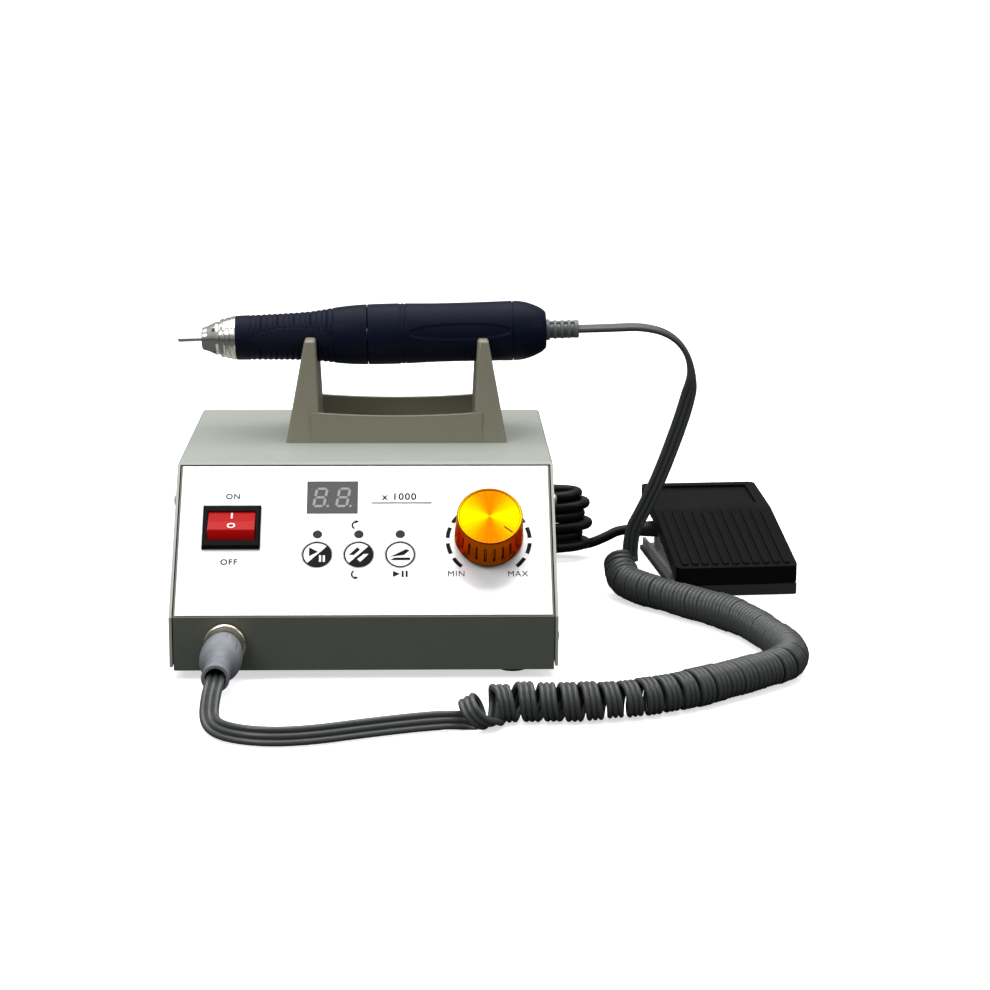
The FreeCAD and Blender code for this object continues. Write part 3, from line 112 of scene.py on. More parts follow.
# ---------------------------------------------------------------- camera
def make_camera():
    yaw, pitch, roll = math.radians(1.829), math.radians(12.359), math.radians(0.289)
    look = Vector((math.sin(yaw) * math.cos(pitch), math.cos(yaw) * math.cos(pitch),
                   -math.sin(pitch)))
    level = Vector((math.cos(yaw), -math.sin(yaw), 0))
    right = level * math.cos(roll) + level.cross(look) * math.sin(roll)
    up = right.cross(look)
    data = bpy.data.cameras.new("camera")
    data.sensor_width = 36.0
    data.lens = 88.77
    data.clip_start, data.clip_end = 0.05, 20.0
    camera = add_object("camera", data)
    turn = Matrix((right, up, -look)).transposed().to_4x4()
    camera.matrix_world = Matrix.Translation(at(23.07, -989.88, 296.35)) @ turn
    bpy.context.scene.camera = camera


# ---------------------------------------------------------------- node helpers
def new_group(name, inputs, outputs):
    tree = bpy.data.node_groups.new(name, "ShaderNodeTree")
    for label, kind, value in inputs:
        socket = tree.interface.new_socket(label, in_out="INPUT", socket_type="NodeSocket" + kind)
        if value is not None:
            socket.default_value = value
    for label, kind in outputs:
        tree.interface.new_socket(label, in_out="OUTPUT", socket_type="NodeSocket" + kind)
    return tree, tree.nodes.new("NodeGroupInput"), tree.nodes.new("NodeGroupOutput")


def fill(tree, sockets, values):
    """Each socket gets its value, or a link where the value is another node's output."""
    for socket, value in zip(sockets, values):
        if isinstance(value, bpy.types.NodeSocket):
            tree.links.new(value, socket)
        else:
            socket.default_value = value


def add_node(tree, kind, **inputs):
    node = tree.nodes.new("ShaderNode" + kind)
    fill(tree, [node.inputs[label.title()] for label in inputs], inputs.values())
    return node


def noise(tree, vector, scale, detail=3.0, roughness=0.55):
    made = add_node(tree, "TexNoise", detail=detail, roughness=roughness, vector=vector, scale=scale)
    return made.outputs["Fac"]


def noise_along(tree, distance, scale, detail=2.0):
    """Noise that changes in one direction only."""
    node = tree.nodes.new("ShaderNodeTexNoise")
    node.noise_dimensions = "1D"
    fill(tree, [node.inputs[label] for label in ("Scale", "Detail", "W")], (scale, detail, distance))
    return node.outputs["Fac"]


def math_node(tree, operation, *values):
    node = tree.nodes.new("ShaderNodeMath")
    node.operation = operation
    fill(tree, node.inputs, values)
    return node.outputs[0]


def spread(tree, value, low, high, to_low=0.0, to_high=1.0):
    node = tree.nodes.new("ShaderNodeMapRange")
    fill(tree, node.inputs[:5], (value, low, high, to_low, to_high))
    return node.outputs[0]


def make_surface_skin():
    """Even finish with a fine grain, soft patches of tone and handling marks in the gloss."""
    tree, given, result = new_group(
        "surface_skin",
        [("Vector", "Vector", None), ("Tone", "Color", (0.5, 0.5, 0.5, 1)), ("Patches", "Float", 0.1),
         ("Roughness", "Float", 0.5), ("Marks", "Float", 0.08), ("Grain Scale", "Float", 1500.0)],
        [("Color", "Color"), ("Roughness", "Float"), ("Grain", "Float")])
    vector = given.outputs["Vector"]
    patch = noise(tree, vector, 28.0, 4.0)
    fine = noise(tree, vector, given.outputs["Grain Scale"], 2.0)
    speck = noise(tree, vector, 420.0, 2.0)

    def about_zero(value, share):
        return math_node(tree, "MULTIPLY", math_node(tree, "SUBTRACT", value, 0.5), share)

    patches = given.outputs["Patches"]
    swing = math_node(tree, "ADD", about_zero(patch, patches),
                      about_zero(speck, math_node(tree, "MULTIPLY", patches, 0.5)))
    shade = add_node(tree, "HueSaturation", color=given.outputs["Tone"],
                     value=math_node(tree, "ADD", swing, 1.0))
    smear = spread(tree, noise(tree, vector, 55.0, 5.0, 0.7), 0.35, 0.7)
    rough = math_node(tree, "ADD", given.outputs["Roughness"], about_zero(smear, given.outputs["Marks"]))
    fill(tree, result.inputs, (shade.outputs["Color"], rough, fine))
    return tree


def make_turned_lines():
    """Fine rings round an axis, as a lathe leaves them; Distance is measured from the axis."""
    tree, given, result = new_group(
        "turned_lines", [("Distance", "Float", 0.0), ("Pitch", "Float", 0.0004)],
        [("Height", "Float")])
    count = math_node(tree, "DIVIDE", given.outputs["Distance"], given.outputs["Pitch"])
    wave = math_node(tree, "SINE", math_node(tree, "MULTIPLY", count, math.tau))
    drift = noise_along(tree, count, 3.0, 3.0)
    height = math_node(tree, "ADD", math_node(tree, "MULTIPLY", wave, 0.35), drift)
    fill(tree, result.inputs, [height])
    return tree


def make_hairlines():
    """Long faint scratches along one direction."""
    tree, given, result = new_group(
        "hairlines", [("Vector", "Vector", None), ("Stretch", "Vector", (1.0, 1.0, 1.0))],
        [("Height", "Float")])
    scale = tree.nodes.new("ShaderNodeVectorMath")
    scale.operation = "MULTIPLY"
    fill(tree, scale.inputs, (given.outputs["Vector"], given.outputs["Stretch"]))
    fill(tree, result.inputs, [noise(tree, scale.outputs[0], 900.0, 3.0, 0.6)])
    return tree


SKIN = make_surface_skin()
LINES = make_turned_lines()
HAIR = make_hairlines()


class Finish:
    """A material being put together: a Principled shader with the surface skin in front of it."""

    def __init__(self, name, tone, roughness, metallic=0.0, patches=0.08, marks=0.08,
                 grain=(1500.0, 0.00001), **sockets):
        self.made = bpy.data.materials.new(name)
        self.made.use_nodes = True
        self.tree = self.made.node_tree
        self.shader = self.tree.nodes["Principled BSDF"]
        self.place = self.tree.nodes.new("ShaderNodeTexCoord").outputs["Object"]
        skin = self.add(SKIN, vector=self.place, tone=(*tone, 1), patches=patches, roughness=roughness,
                        marks=marks, grain_scale=grain[0])
        self.colour, self.rough = skin["Color"], skin["Roughness"]
        self.heights = [(skin["Grain"], grain[1])]
        self.shader.inputs["Metallic"].default_value = metallic
        for label, value in sockets.items():
            self.shader.inputs[label.replace("_", " ").title().replace("Ior", "IOR")].default_value = value

    def add(self, group, **inputs):
        node = self.tree.nodes.new("ShaderNodeGroup")
        node.node_tree = group
        sockets = [node.inputs[label.replace("_", " ").title()] for label in inputs]
        fill(self.tree, sockets, inputs.values())
        return node.outputs

    def tint(self, mask, tone):
        """The other tone where the mask is one."""
        mix = self.tree.nodes.new("ShaderNodeMix")
        mix.data_type = "RGBA"
        fill(self.tree, (mix.inputs[0], mix.inputs[6], mix.inputs[7]), (mask, self.colour, (*tone, 1)))
        self.colour = mix.outputs[2]

    def math(self, operation, *values):
        return math_node(self.tree, operation, *values)

    def axis(self, index):
        return add_node(self.tree, "SeparateXYZ", vector=self.place).outputs[index]

    def done(self):
        self.tree.links.new(self.colour, self.shader.inputs["Base Color"])
        self.tree.links.new(self.rough, self.shader.inputs["Roughness"])
        last = None
        for height, depth in self.heights:
            below = {"normal": last} if last else {}
            last = add_node(self.tree, "Bump", distance=depth, height=height, **below).outputs[0]
        self.tree.links.new(last, self.shader.inputs["Normal"])
        return self.made


def plain(name, tone, roughness, **more):
    return Finish(name, tone, roughness, **more).done()


def make_gold():
    """The knob's turned face: rings about its axis, and a painted reflection in its colour: bright and orange
    sectors with fine rays of painted highlight.
    """
    gold = Finish("gold_turned_painted_sheen", (0.52, 0.315, 0.0), 0.24, metallic=1.0, patches=0.02, marks=0.04,
                  grain=(2500.0, 0.000002))
    shift = add_node(gold.tree, "Mapping", vector=gold.place)
    shift.vector_type = "TEXTURE"
    fill(gold.tree, (shift.inputs["Location"], shift.inputs["Rotation"]),
         (on_panel(*KNOB_CENTRE, 0), (PANEL_SLOPE, 0, 0)))
    u, v = add_node(gold.tree, "SeparateXYZ", vector=shift.outputs[0]).outputs[:2]
    squares = gold.math("ADD", gold.math("MULTIPLY", u, u), gold.math("MULTIPLY", v, v))
    out = gold.math("SQRT", squares)
    rings = gold.add(LINES, distance=out, pitch=0.00035)
    gold.heights.append((rings["Height"], 0.000012))
    # Painted reflection: the gold turns orange in broad sectors above and below the middle, and fine rays of
    # painted highlight run round it.
    angle = gold.math("ARCTAN2", v, u)
    painted_glint_noise = noise_along(gold.tree, angle, 14.0)
    painted_sheen_sectors = gold.math("POWER", gold.math("ABSOLUTE", gold.math("SINE", angle)), 1.5)
    painted_glint_rays = gold.math("MULTIPLY", gold.math("SUBTRACT", painted_glint_noise, 0.5), 0.35)
    painted_sheen_sectors = gold.math("ADD", painted_sheen_sectors, painted_glint_rays)
    gold.tint(spread(gold.tree, painted_sheen_sectors, 0.0, 1.0), (0.37, 0.082, 0.0))
    return gold.done()


def make_brushed(name, tone, roughness, stretch):
    metal = Finish(name, tone, roughness, metallic=1.0, patches=0.04, marks=0.06)
    hair = metal.add(HAIR, vector=metal.place, stretch=stretch)
    metal.heights.append((hair["Height"], 0.000008))
    return metal.done()


def make_turned_steel(name, tone, roughness):
    """Bright turned metal of the handpiece's nose: rings along its length."""
    metal = Finish(name, tone, roughness, metallic=1.0, patches=0.03, marks=0.05)
    rings = metal.add(LINES, distance=metal.axis(0), pitch=0.0003)
    metal.heights.append((rings["Height"], 0.000012))
    return metal.done()


def make_knurled_navy():
    """Crossed fine cuts in the grip's leaf-shaped side panels."""
    navy = Finish("navy_crosshatch", NAVY, 0.5, specular_ior_level=0.08, patches=0.1, marks=0.1)
    x, z = navy.axis(0), navy.axis(2)
    for sign in ("ADD", "SUBTRACT"):
        line = navy.math("MULTIPLY", navy.math(sign, x, z), math.tau / 0.0011)
        navy.heights.append((navy.math("SINE", line), 0.00009))
    return navy.done()


NAVY = (0.00429, 0.00585, 0.01638)
MADE = {}


def finish(key, tone, roughness, called=None, make=plain, **more):
    MADE[key] = make(called or key, tone, roughness, **more)


def make_finishes():
    paint = {"marks": 0.1, "grain": (900.0, 0.00003)}
    finish("cover_paint", (0.33, 0.35, 0.315), 0.36, patches=0.05, **paint)
    # The tray's paint is far darker than the cover's: the shade on the upright front skirt is painted into
    # its tone.
    finish("tray_paint", (0.085, 0.095, 0.078), 0.40, patches=0.06, **paint)
    finish("overlay_film", (0.93, 0.935, 0.94), 0.16, patches=0.02, marks=0.05, coat_weight=0.5,
           coat_roughness=0.08)
    finish("print_black", (0.007, 0.007, 0.008), 0.5, patches=0.1, specular_ior_level=0.06)
    finish("switch_black", (0.004, 0.004, 0.004), 0.35, patches=0.1, specular_ior_level=0.04)
    finish("rocker_red", (0.38, 0.003, 0.003), 0.2, patches=0.05, marks=0.05, specular_ior_level=0.06)
    finish("rocker_print", (0.85, 0.80, 0.78), 0.3)
    finish("window_smoke", (0.082, 0.082, 0.083), 0.2, patches=0.05, specular_ior_level=0.10)
    finish("digit_pale", (0.29, 0.29, 0.29), 0.4, specular_ior_level=0.2)
    finish("key_white", (0.82, 0.83, 0.85), 0.2, patches=0.03, coat_weight=0.4)
    finish("led_lens", (0.035, 0.033, 0.033), 0.3, specular_ior_level=0.06)
    # The knob's side is a far darker, redder copy of the face's gold: painted shade on the upright rim.
    finish("gold", (0.27, 0.068, 0.002), 0.26, called="gold_side", metallic=1.0, patches=0.04, marks=0.06,
           specular_tint=(0.75, 0.26, 0.01, 1))
    MADE["gold_face"] = make_gold()
    finish("knob_black", (0.010, 0.008, 0.006), 0.5, specular_ior_level=0.08)
    finish("nickel", (0.62, 0.56, 0.46), 0.13, "warm_nickel", make_turned_steel)
    finish("chrome", (0.66, 0.65, 0.62), 0.12, "bright_chrome", make_turned_steel)
    finish("steel", (0.60, 0.60, 0.60), 0.3, make=make_brushed, stretch=(1.0, 0.05, 1.0))
    finish("brass", (0.75, 0.56, 0.24), 0.28, make=make_brushed, stretch=(1.0, 1.0, 0.05))
    finish("boot_rubber", (0.16, 0.175, 0.195), 0.45, patches=0.1, marks=0.12)
    finish("motor_cord", (0.054, 0.058, 0.058), 0.33, patches=0.08, marks=0.12, specular_ior_level=0.42,
           grain=(2500.0, 0.00001))
    finish("pedal_cord", (0.004, 0.004, 0.0045), 0.4, patches=0.1, marks=0.12, specular_ior_level=0.15)
    finish("cradle", (0.213, 0.207, 0.154), 0.40, "cradle_greige", patches=0.06, marks=0.1,
           grain=(1400.0, 0.00002))
    finish("navy", NAVY, 0.44, "navy_soft", patches=0.12, marks=0.12, specular_ior_level=0.06,
           grain=(2200.0, 0.000012))
    MADE["navy_crosshatch"] = make_knurled_navy()
    finish("relief", (0.115, 0.122, 0.122), 0.4, "relief_grey")
    finish("pedal_black", (0.0035, 0.0035, 0.0037), 0.42, patches=0.1, marks=0.14,
           specular_ior_level=0.035, grain=(1700.0, 0.00004))
    finish("pedal_plate", (0.22, 0.225, 0.23), 0.4, patches=0.06)
    finish("mat_rubber", (0.010, 0.010, 0.010), 0.6, grain=(1200.0, 0.00005))
    finish("board", (0.015, 0.13, 0.05), 0.3, "solder_mask", patches=0.2)
    finish("plastic_black", (0.014, 0.014, 0.015), 0.45)
    finish("plastic_pale", (0.6, 0.6, 0.57), 0.45)
    finish("winding", (0.52, 0.36, 0.05), 0.4, "winding_tape")
    finish("iron", (0.22, 0.22, 0.23), 0.45, "laminated_iron", make_brushed, stretch=(1.0, 0.05, 1.0))
    finish("can", (0.62, 0.63, 0.65), 0.3, "aluminium_can", make_brushed, stretch=(1.0, 1.0, 0.05))
    finish("foot_rubber", (0.015, 0.015, 0.015), 0.6)


# finish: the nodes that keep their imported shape
CAD_FINISHES = {
    "tray_paint": "base_tray", "cover_paint": "cover_hood",
    "chrome": "cover_screws cradle_screws mandrel collet nose_cone", "foot_rubber": "rubber_feet",
    "overlay_film": "panel_overlay", "switch_black": "switch_housing", "rocker_red": "switch_rocker",
    "window_smoke": "display_window",
    "plastic_black": "display_module key_switches mains_inlet jack_plug pedal_switch pedal_gland",
    "key_white": "key_mode key_direction key_start", "led_lens": "status_leds",
    "board": "control_board driver_board", "brass": "board_spacers socket_contacts",
    "steel": "potentiometer pot_shaft pedal_jack spindle bearings rotor hinge_pin return_spring",
    "knob_black": "knob_insert", "nickel": "motor_socket socket_nut plug_shell", "can": "driver_parts",
    "iron": "transformer_core stator", "winding": "transformer_coil", "cradle": "cradle",
    "navy": "end_cap", "pedal_black": "pedal_treadle", "pedal_plate": "pedal_base",
    "mat_rubber": "pedal_mat", "plastic_pale": "switch_plunger"}


def paint_packed_nodes():
    for look, names in CAD_FINISHES.items():
        for node in names.split():
            mesh = nodes[node].data
            if len(mesh.materials) == 0:
                mesh.materials.append(MADE[look])
            for slot in nodes[node].material_slots:
                slot.material = MADE[look]


# ---------------------------------------------------------------- mesh helpers
def piece(name, vertices, faces, finish, body, stands_for=(), smooth=35.0):
    mesh = bpy.data.meshes.new(name)
    mesh.from_pydata([tuple(v) for v in vertices], [], faces)
    shape = bmesh.new()
    shape.from_mesh(mesh)
    bmesh.ops.recalc_face_normals(shape, faces=shape.faces)
    shape.to_mesh(mesh)
    shape.free()
    return piece_of_mesh(name, mesh, finish, body, stands_for, smooth)


def piece_of_mesh(name, mesh, finish, body, stands_for=(), smooth=35.0):
    mesh.materials.clear()
    mesh.materials.append(MADE[finish])
    for face in mesh.polygons:
        face.use_smooth = True
    mesh.set_sharp_from_angle(angle=math.radians(smooth))
    obj = add_object(name, mesh)
    if body:
        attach(obj, body)
    if stands_for:
        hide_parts(*stands_for)
    return obj


def tube_faces(rings, around, closed_ends=False, offset=0, loop=False):
    """Quads over rings of points; a ring's points follow one another in the vertex list."""
    faces = []
    for i in range(rings if loop else rings - 1):
        for j in range(around):
            a, b = i * around, (i + 1) % rings * around
            k = (j + 1) % around
            faces.append(tuple(offset + n for n in (a + j, a + k, b + k, b + j)))
    if closed_ends:
        faces.append(tuple(offset + j for j in range(around))[::-1])
        faces.append(tuple(offset + (rings - 1) * around + j for j in range(around)))
    return faces


def lathed(name, place, outline, finish, body, stands_for=(), around=96, shape=None, smooth=35.0,
           ends=True):
    """A turned piece. place maps (along, a, b) to a point; shape may change the radius."""
    vertices = []
    for s, r in outline:
        for j in range(around):
            angle = math.tau * j / around
            radius = shape(s, r, angle) if shape else r
            vertices.append(place(s, radius * math.cos(angle), radius * math.sin(angle)))
    faces = tube_faces(len(outline), around, closed_ends=ends)
    return piece(name, vertices, faces, finish, body, stands_for, smooth)


def curve_through(points, steps):
    """Catmull-Rom through (s, r) points, steps to each span."""
    padded = [points[0]] + list(points) + [points[-1]]
    line = []
    for a, b, c, d in zip(padded, padded[1:], padded[2:], padded[3:]):
        for k in range(steps):
            t = k / steps
            line.append(tuple(
                0.5 * (2 * q + (r - p) * t + (2 * p - 5 * q + 4 * r - s) * t * t
                       + (3 * q - p - 3 * r + s) * t ** 3) for p, q, r, s in zip(a, b, c, d)))
    return line + [points[-1]]


def read_curve(points, s):
    for (s0, r0), (s1, r1) in zip(points, points[1:]):
        if s0 <= s <= s1:
            return r0 + (r1 - r0) * (s - s0) / (s1 - s0)
    return points[-1][1] if s > points[-1][0] else points[0][1]


def smooth_step(low, high, value):
    t = min(max((value - low) / (high - low), 0.0), 1.0)
    return t * t * (3 - 2 * t)


# ---------------------------------------------------------------- cords
def nurbs(name, points, radius=0.0):
    curve = bpy.data.curves.new(name, "CURVE")
    curve.dimensions = "3D"
    curve.resolution_u = 12
    curve.bevel_depth = radius
    curve.bevel_resolution = 5
    curve.use_fill_caps = True
    spline = curve.splines.new("NURBS")
    spline.points.add(len(points) - 1)
    for point, place in zip(spline.points, points):
        point.co = (*place, 1)
    spline.use_endpoint_u = True
    spline.order_u = 3
    return add_object(name, curve)


def read_line(points):
    """Points along the smooth curve that the route's points control."""
    obj = nurbs("route", points)
    mesh = bpy.data.meshes.new_from_object(obj)
    line = [v.co.copy() for v in mesh.vertices]
    bpy.data.meshes.remove(mesh)
    bpy.data.objects.remove(obj)
    return line


def length_of(line):
    return sum((b - a).length for a, b in zip(line, line[1:]))


def evenly(line, step):
    """The same line with its points a step apart."""
    total = length_of(line)
    count = max(int(round(total / step)), 1)
    result, i, done = [], 0, 0.0
    for k in range(count + 1):
        target = total * k / count
        while i < len(line) - 2 and done + (line[i + 1] - line[i]).length < target:
            done += (line[i + 1] - line[i]).length
            i += 1
        span = (line[i + 1] - line[i]).length
        result.append(line[i].lerp(line[i + 1], min(max((target - done) / max(span, 1e-9), 0), 1)))
    return result


def tangents(line):
    end = len(line) - 1
    return [(line[min(i + 1, end)] - line[max(i - 1, 0)]).normalized() for i in range(end + 1)]


MOTOR_LEAD = [
    (-58.2, -46.0, 15.9), (-58.2, -55.0, 15.9), (-59.4, -63.5, 11.0), (-59.6, -70.5, 5.4),
    (-56.5, -78.5, 4.0), (-48.0, -86.5, 4.0), (-34.0, -90.5, 4.0), (-18.0, -88.0, 4.0),
    (0.0, -80.5, 4.0), (16.0, -74.5, 4.0), (29.0, -70.5, 4.0), (40.0, -69.5, 4.3)]
COIL = [
    (38.0, -69.0, 8.1), (50.0, -61.5, 8.1), (64.0, -59.0, 8.1), (82.0, -60.0, 8.1),
    (103.0, -57.0, 8.1), (122.0, -49.5, 8.1), (138.0, -39.0, 8.1), (152.0, -28.0, 8.1),
    (164.0, -18.0, 8.1), (175.0, -8.5, 8.1), (181.5, 4.0, 8.1), (181.0, 20.0, 8.1),
    (176.4, 40.0, 8.1), (171.4, 58.0, 8.1), (164.0, 74.0, 8.1), (152.5, 88.5, 8.1),
    (140.0, 103.5, 8.1), (129.0, 118.0, 8.1), (121.5, 130.0, 8.4), (119.3, 138.5, 11.0),
    (120.0, 143.5, 15.5)]
RISER = [
    (120.0, 143.5, 15.5), (121.3, 146.2, 21.0), (124.6, 146.0, 29.0), (129.8, 143.0, 40.0),
    (136.0, 139.0, 55.0), (142.0, 135.0, 73.0), (147.6, 131.0, 92.0), (150.4, 128.0, 107.0),
    (147.6, 126.0, 119.5), (139.0, 124.0, 128.4), (126.0, 122.4, 131.9)]
COIL_MEAN_RADIUS = 6.6
COIL_STARTS_AT = 54.5    # x of the first whole turn's top
LOOSE_PITCHES = [10.0, 8.7, 8.3, 8.2, 8.2, 8.2, 8.2, 8.2, 8.2, 8.1, 8.1]
TIGHT_PITCH = 7.9
CORE_RADIUS = 1.3
TAIL = 172.7             # where the riser meets the strain relief, along the handpiece
LEAD_ENDS_AT = 34.0      # x where the flopped turn begins
RISER_FROM = 34.0        # height above which the riser keeps its own route
LEAD_FACES = Vector((0, -0.9, 0.45))
FLOPPED_MIDDLE = Vector((45.0, -69.5, 6.7))
FLOPPED_AXIS = Vector((0.80, -0.26, 0.54)).normalized()
FLOPPED_RADIUS = 6.4
CLIMB = [
    (52.6, -67.8, 2.2), (53.9, -60.5, 1.7), (54.5, -55.4, 4.8), (54.5, -53.8, 9.0), (54.4, -56.2, 12.9)]


def helix_round(line):
    """The ribbon's turns about the coil's own line, from the top of its first whole turn."""
    step = 0.4 * MM
    line = evenly(line, step)
    line = line[next(i for i, p in enumerate(line) if p.x > at(COIL_STARTS_AT, 0, 0).x):]
    ways = tangents(line)
    side = Vector((0, 0, 1))
    turn, along = 0.0, 0.0
    total = length_of(line)
    points, outward, widths = [], [], []
    for place, way in zip(line, ways):
        side = (side - way * side.dot(way)).normalized()
        pitch = LOOSE_PITCHES[int(turn)] if turn < len(LOOSE_PITCHES) else TIGHT_PITCH
        sway = 0.25 * math.sin(along / (11 * MM)) + 0.2 * math.sin(along / (4.3 * MM))
        radius = (COIL_MEAN_RADIUS + sway) * MM
        other = way.cross(side)
        spoke = side * math.cos(math.tau * turn) + other * math.sin(math.tau * turn)
        loose = 1 - smooth_step(70 * MM, 110 * MM, along)
        slack = (0.2 + 0.7 * loose) * MM * math.sin(math.tau * turn - 0.5)
        points.append(place + spoke * radius - way * slack)
        outward.append(spoke)
        widths.append(0.97 - 0.10 * loose)
        if along < total - 6 * MM or turn % 1.0 < 0.86:
            last = len(points)
        turn += step / (pitch * MM)
        along += step
    return points[:last], outward[:last], widths[:last]


def bridge(start, way, end, onward, pull):
    """A smooth way from one point and direction to another."""
    line, count = [], 24
    for k in range(1, count):
        t = k / count
        line.append(start * (2 * t ** 3 - 3 * t ** 2 + 1) + way * pull * (t ** 3 - 2 * t ** 2 + t)
                    + end * (3 * t ** 2 - 2 * t ** 3) + onward * pull * (t ** 3 - t ** 2))
    return line


def flopped_turn(before, after):
    """The lead's way into the coil: one loose turn that has fallen towards the lead."""
    back = Vector((0.30, 0.95, 0)).normalized()
    back = (back - FLOPPED_AXIS * back.dot(FLOPPED_AXIS)).normalized()
    over = FLOPPED_AXIS.cross(back)
    spots, outward = [before, at(41.0, -68.6, 3.4)], [-LEAD_FACES, -LEAD_FACES]
    for k in range(9):
        angle = math.radians(-55 + 38 * k)
        spoke = back * math.cos(angle) + over * math.sin(angle)
        spots.append(at(*(FLOPPED_MIDDLE + spoke * FLOPPED_RADIUS + FLOPPED_AXIS * (-3.0 + 0.8 * k))))
        outward.append(spoke)
    coil_middle = Vector((54.3, -61.0, 8.1))
    for spot in CLIMB:
        spots.append(at(*spot))
        outward.append((Vector(spot) - coil_middle).normalized())
    spots.append(after)
    outward.append(Vector((0, 0, 1)))
    line = [Vector(p) for p in curve_through([tuple(p) for p in spots], 10)]
    return line, [Vector(n).normalized() for n in curve_through([tuple(n) for n in outward], 10)]


def ribbon_section():
    """Three cores side by side, as one outline."""
    centres = [-2 * CORE_RADIUS, 0.0, 2 * CORE_RADIUS]

    def side(angles):
        return [(centre + CORE_RADIUS * math.cos(a), CORE_RADIUS * math.sin(a))
                for centre in centres for a in map(math.radians, angles)]

    upper = side((166, 140, 112, 90, 68, 40, 14))
    lower = side((194, 220, 248, 270, 292, 320, 346))
    left = [(centres[0] - CORE_RADIUS, 0.0)]
    right = [(centres[-1] + CORE_RADIUS, 0.0)]
    return [(a * MM, b * MM) for a, b in left + upper + right + lower[::-1]]


def make_motor_cord():
    lead = evenly(read_line([at(*p) for p in MOTOR_LEAD]), 1.2 * MM)
    coil, coil_out, coil_wide = helix_round(read_line([at(*p) for p in COIL]))
    riser = read_line([at(*p) for p in RISER] + [on_hand(TAIL + 15.0, 0, 0), on_hand(TAIL, 0, 0)])
    riser = [p for p in evenly(riser, 1.2 * MM) if p.z > RISER_FROM * MM]
    reach = at(LEAD_ENDS_AT, 0, 0).x
    corner = next(i for i, p in enumerate(lead) if p.x > reach and i > len(lead) / 2)
    lead = lead[:corner]
    entry, entry_out = flopped_turn(lead[-1], coil[0])
    coil, coil_out, coil_wide = coil[1:], coil_out[1:], coil_wide[1:]
    climb = bridge(coil[-1], (coil[-1] - coil[-2]).normalized(),
                   riser[0], (riser[1] - riser[0]).normalized(), 26 * MM)
    riser = climb + riser
    line = lead[:-1] + entry + coil + riser
    normals = [-LEAD_FACES] * (len(lead) - 1) + entry_out + coil_out
    widths = [1.0] * (len(lead) - 1) + [0.97] * len(entry) + coil_wide + [1.0] * len(riser)
    for i in range(len(riser)):
        share = smooth_step(0.30, 0.75, i / len(riser))
        normals.append(Vector((0.25, -0.95, 0.2)).lerp(Vector((0.25, -0.1, 1.0)), share).normalized())
    for i in range(1, len(normals)):
        if normals[i].dot(normals[i - 1]) < 0:
            normals[i] = -normals[i]
    for seam, passes in ((len(lead) + 2, 4), (len(lead) + len(entry), 4), (len(line) - len(riser), 20)):
        for _ in range(passes):
            fresh, fresh_line = list(normals), list(line)
            for i in range(max(seam - 40, 1), min(seam + 40, len(line) - 1)):
                fresh[i] = (normals[i - 1] + normals[i + 1] + normals[i]).normalized()
                if abs(i - seam) < 6:
                    fresh_line[i] = (line[i - 1] + line[i + 1] + line[i]) / 3
            normals, line = fresh, fresh_line
    floor = 1.4 * MM
    for point in line:
        point.z = max(point.z, floor)
    section = ribbon_section()
    ways = tangents(line)
    vertices, kept = [], []
    for i, (place, way, normal, wide) in enumerate(zip(line, ways, normals, widths)):
        if i and (place - kept[-1]).length < 1.1 * MM and i < len(line) - 1:
            continue
        kept.append(place)
        out = normal - way * normal.dot(way)
        out = out.normalized() if out.length > 1e-4 else Vector((0, 0, 1))
        across = way.cross(out)
        vertices += [place + across * a * wide + out * b for a, b in section]
    for vertex in vertices:
        vertex.z = max(vertex.z, 0.05 * MM)
    faces = tube_faces(len(kept), len(section), closed_ends=True)
    cord = piece("motor_cord", vertices, faces, "motor_cord", None,
                 ("motor_lead", "motor_coil", "motor_riser"), smooth=70)
    tuple(kept[0])
    round(length_of(kept), 3)
    [tuple(p) for p in kept]
    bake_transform(cord)


PEDAL_LEAD = [(118.5, 216.4, 10.2), (109.5, 215.2, 6.6), (99.0, 214.5, 5.8)]
JACK_LEAD = [
    (13.0, 218.0, 12.0), (4.0, 226.5, 13.0), (-6.0, 234.0, 15.0), (-17.5, 236.0, 18.0),
    (-27.0, 229.5, 21.5), (-30.0, 219.5, 24.0), (-30.0, 211.0, 24.0)]
HANK_MIDDLE = (58.5, 213.0)
HANK_TURNS = [  # half length, half width and level of each turn
    (47.5, 14.0, 3.0), (50.0, 15.0, 8.2), (46.0, 13.0, 13.3), (51.0, 15.0, 18.5), (47.0, 14.0, 23.7),
    (49.5, 14.5, 28.9), (45.5, 12.5, 34.0)]


def make_pedal_cord():
    start = [(-5.0, 85.0, 13.6), (-13.0, 85.0, 13.6)]
    points = [on_pedal(*p) for p in start] + [at(*p) for p in PEDAL_LEAD]
    middle_x, middle_y = HANK_MIDDLE
    steps = 16
    count = len(HANK_TURNS)
    first, last = 3, (count - 1) * steps + 5
    for k in range(first, last + 1):
        turn, phase = divmod(k, steps)
        here, ahead = HANK_TURNS[turn], HANK_TURNS[min(turn + 1, count - 1)]
        share = smooth_step(0.55, 1.0, phase / steps)
        half, wide, level = (a + (b - a) * share for a, b in zip(here, ahead))
        angle = math.tau * phase / steps
        pinch = 0.42 + 0.95 * math.cos(angle) ** 2
        points.append(at(middle_x + half * math.cos(angle), middle_y + wide * math.sin(angle) * pinch, level))
    points += [at(*p) for p in JACK_LEAD]
    cord = nurbs("pedal_cord", points, 0.0025)
    cord.data.materials.append(MADE["pedal_cord"])
    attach(cord, "console")
    length = length_of(read_line(points))
    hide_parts("pedal_lead", "pedal_hank", "jack_lead")
    tie = make_tie()
    tuple(points[0])


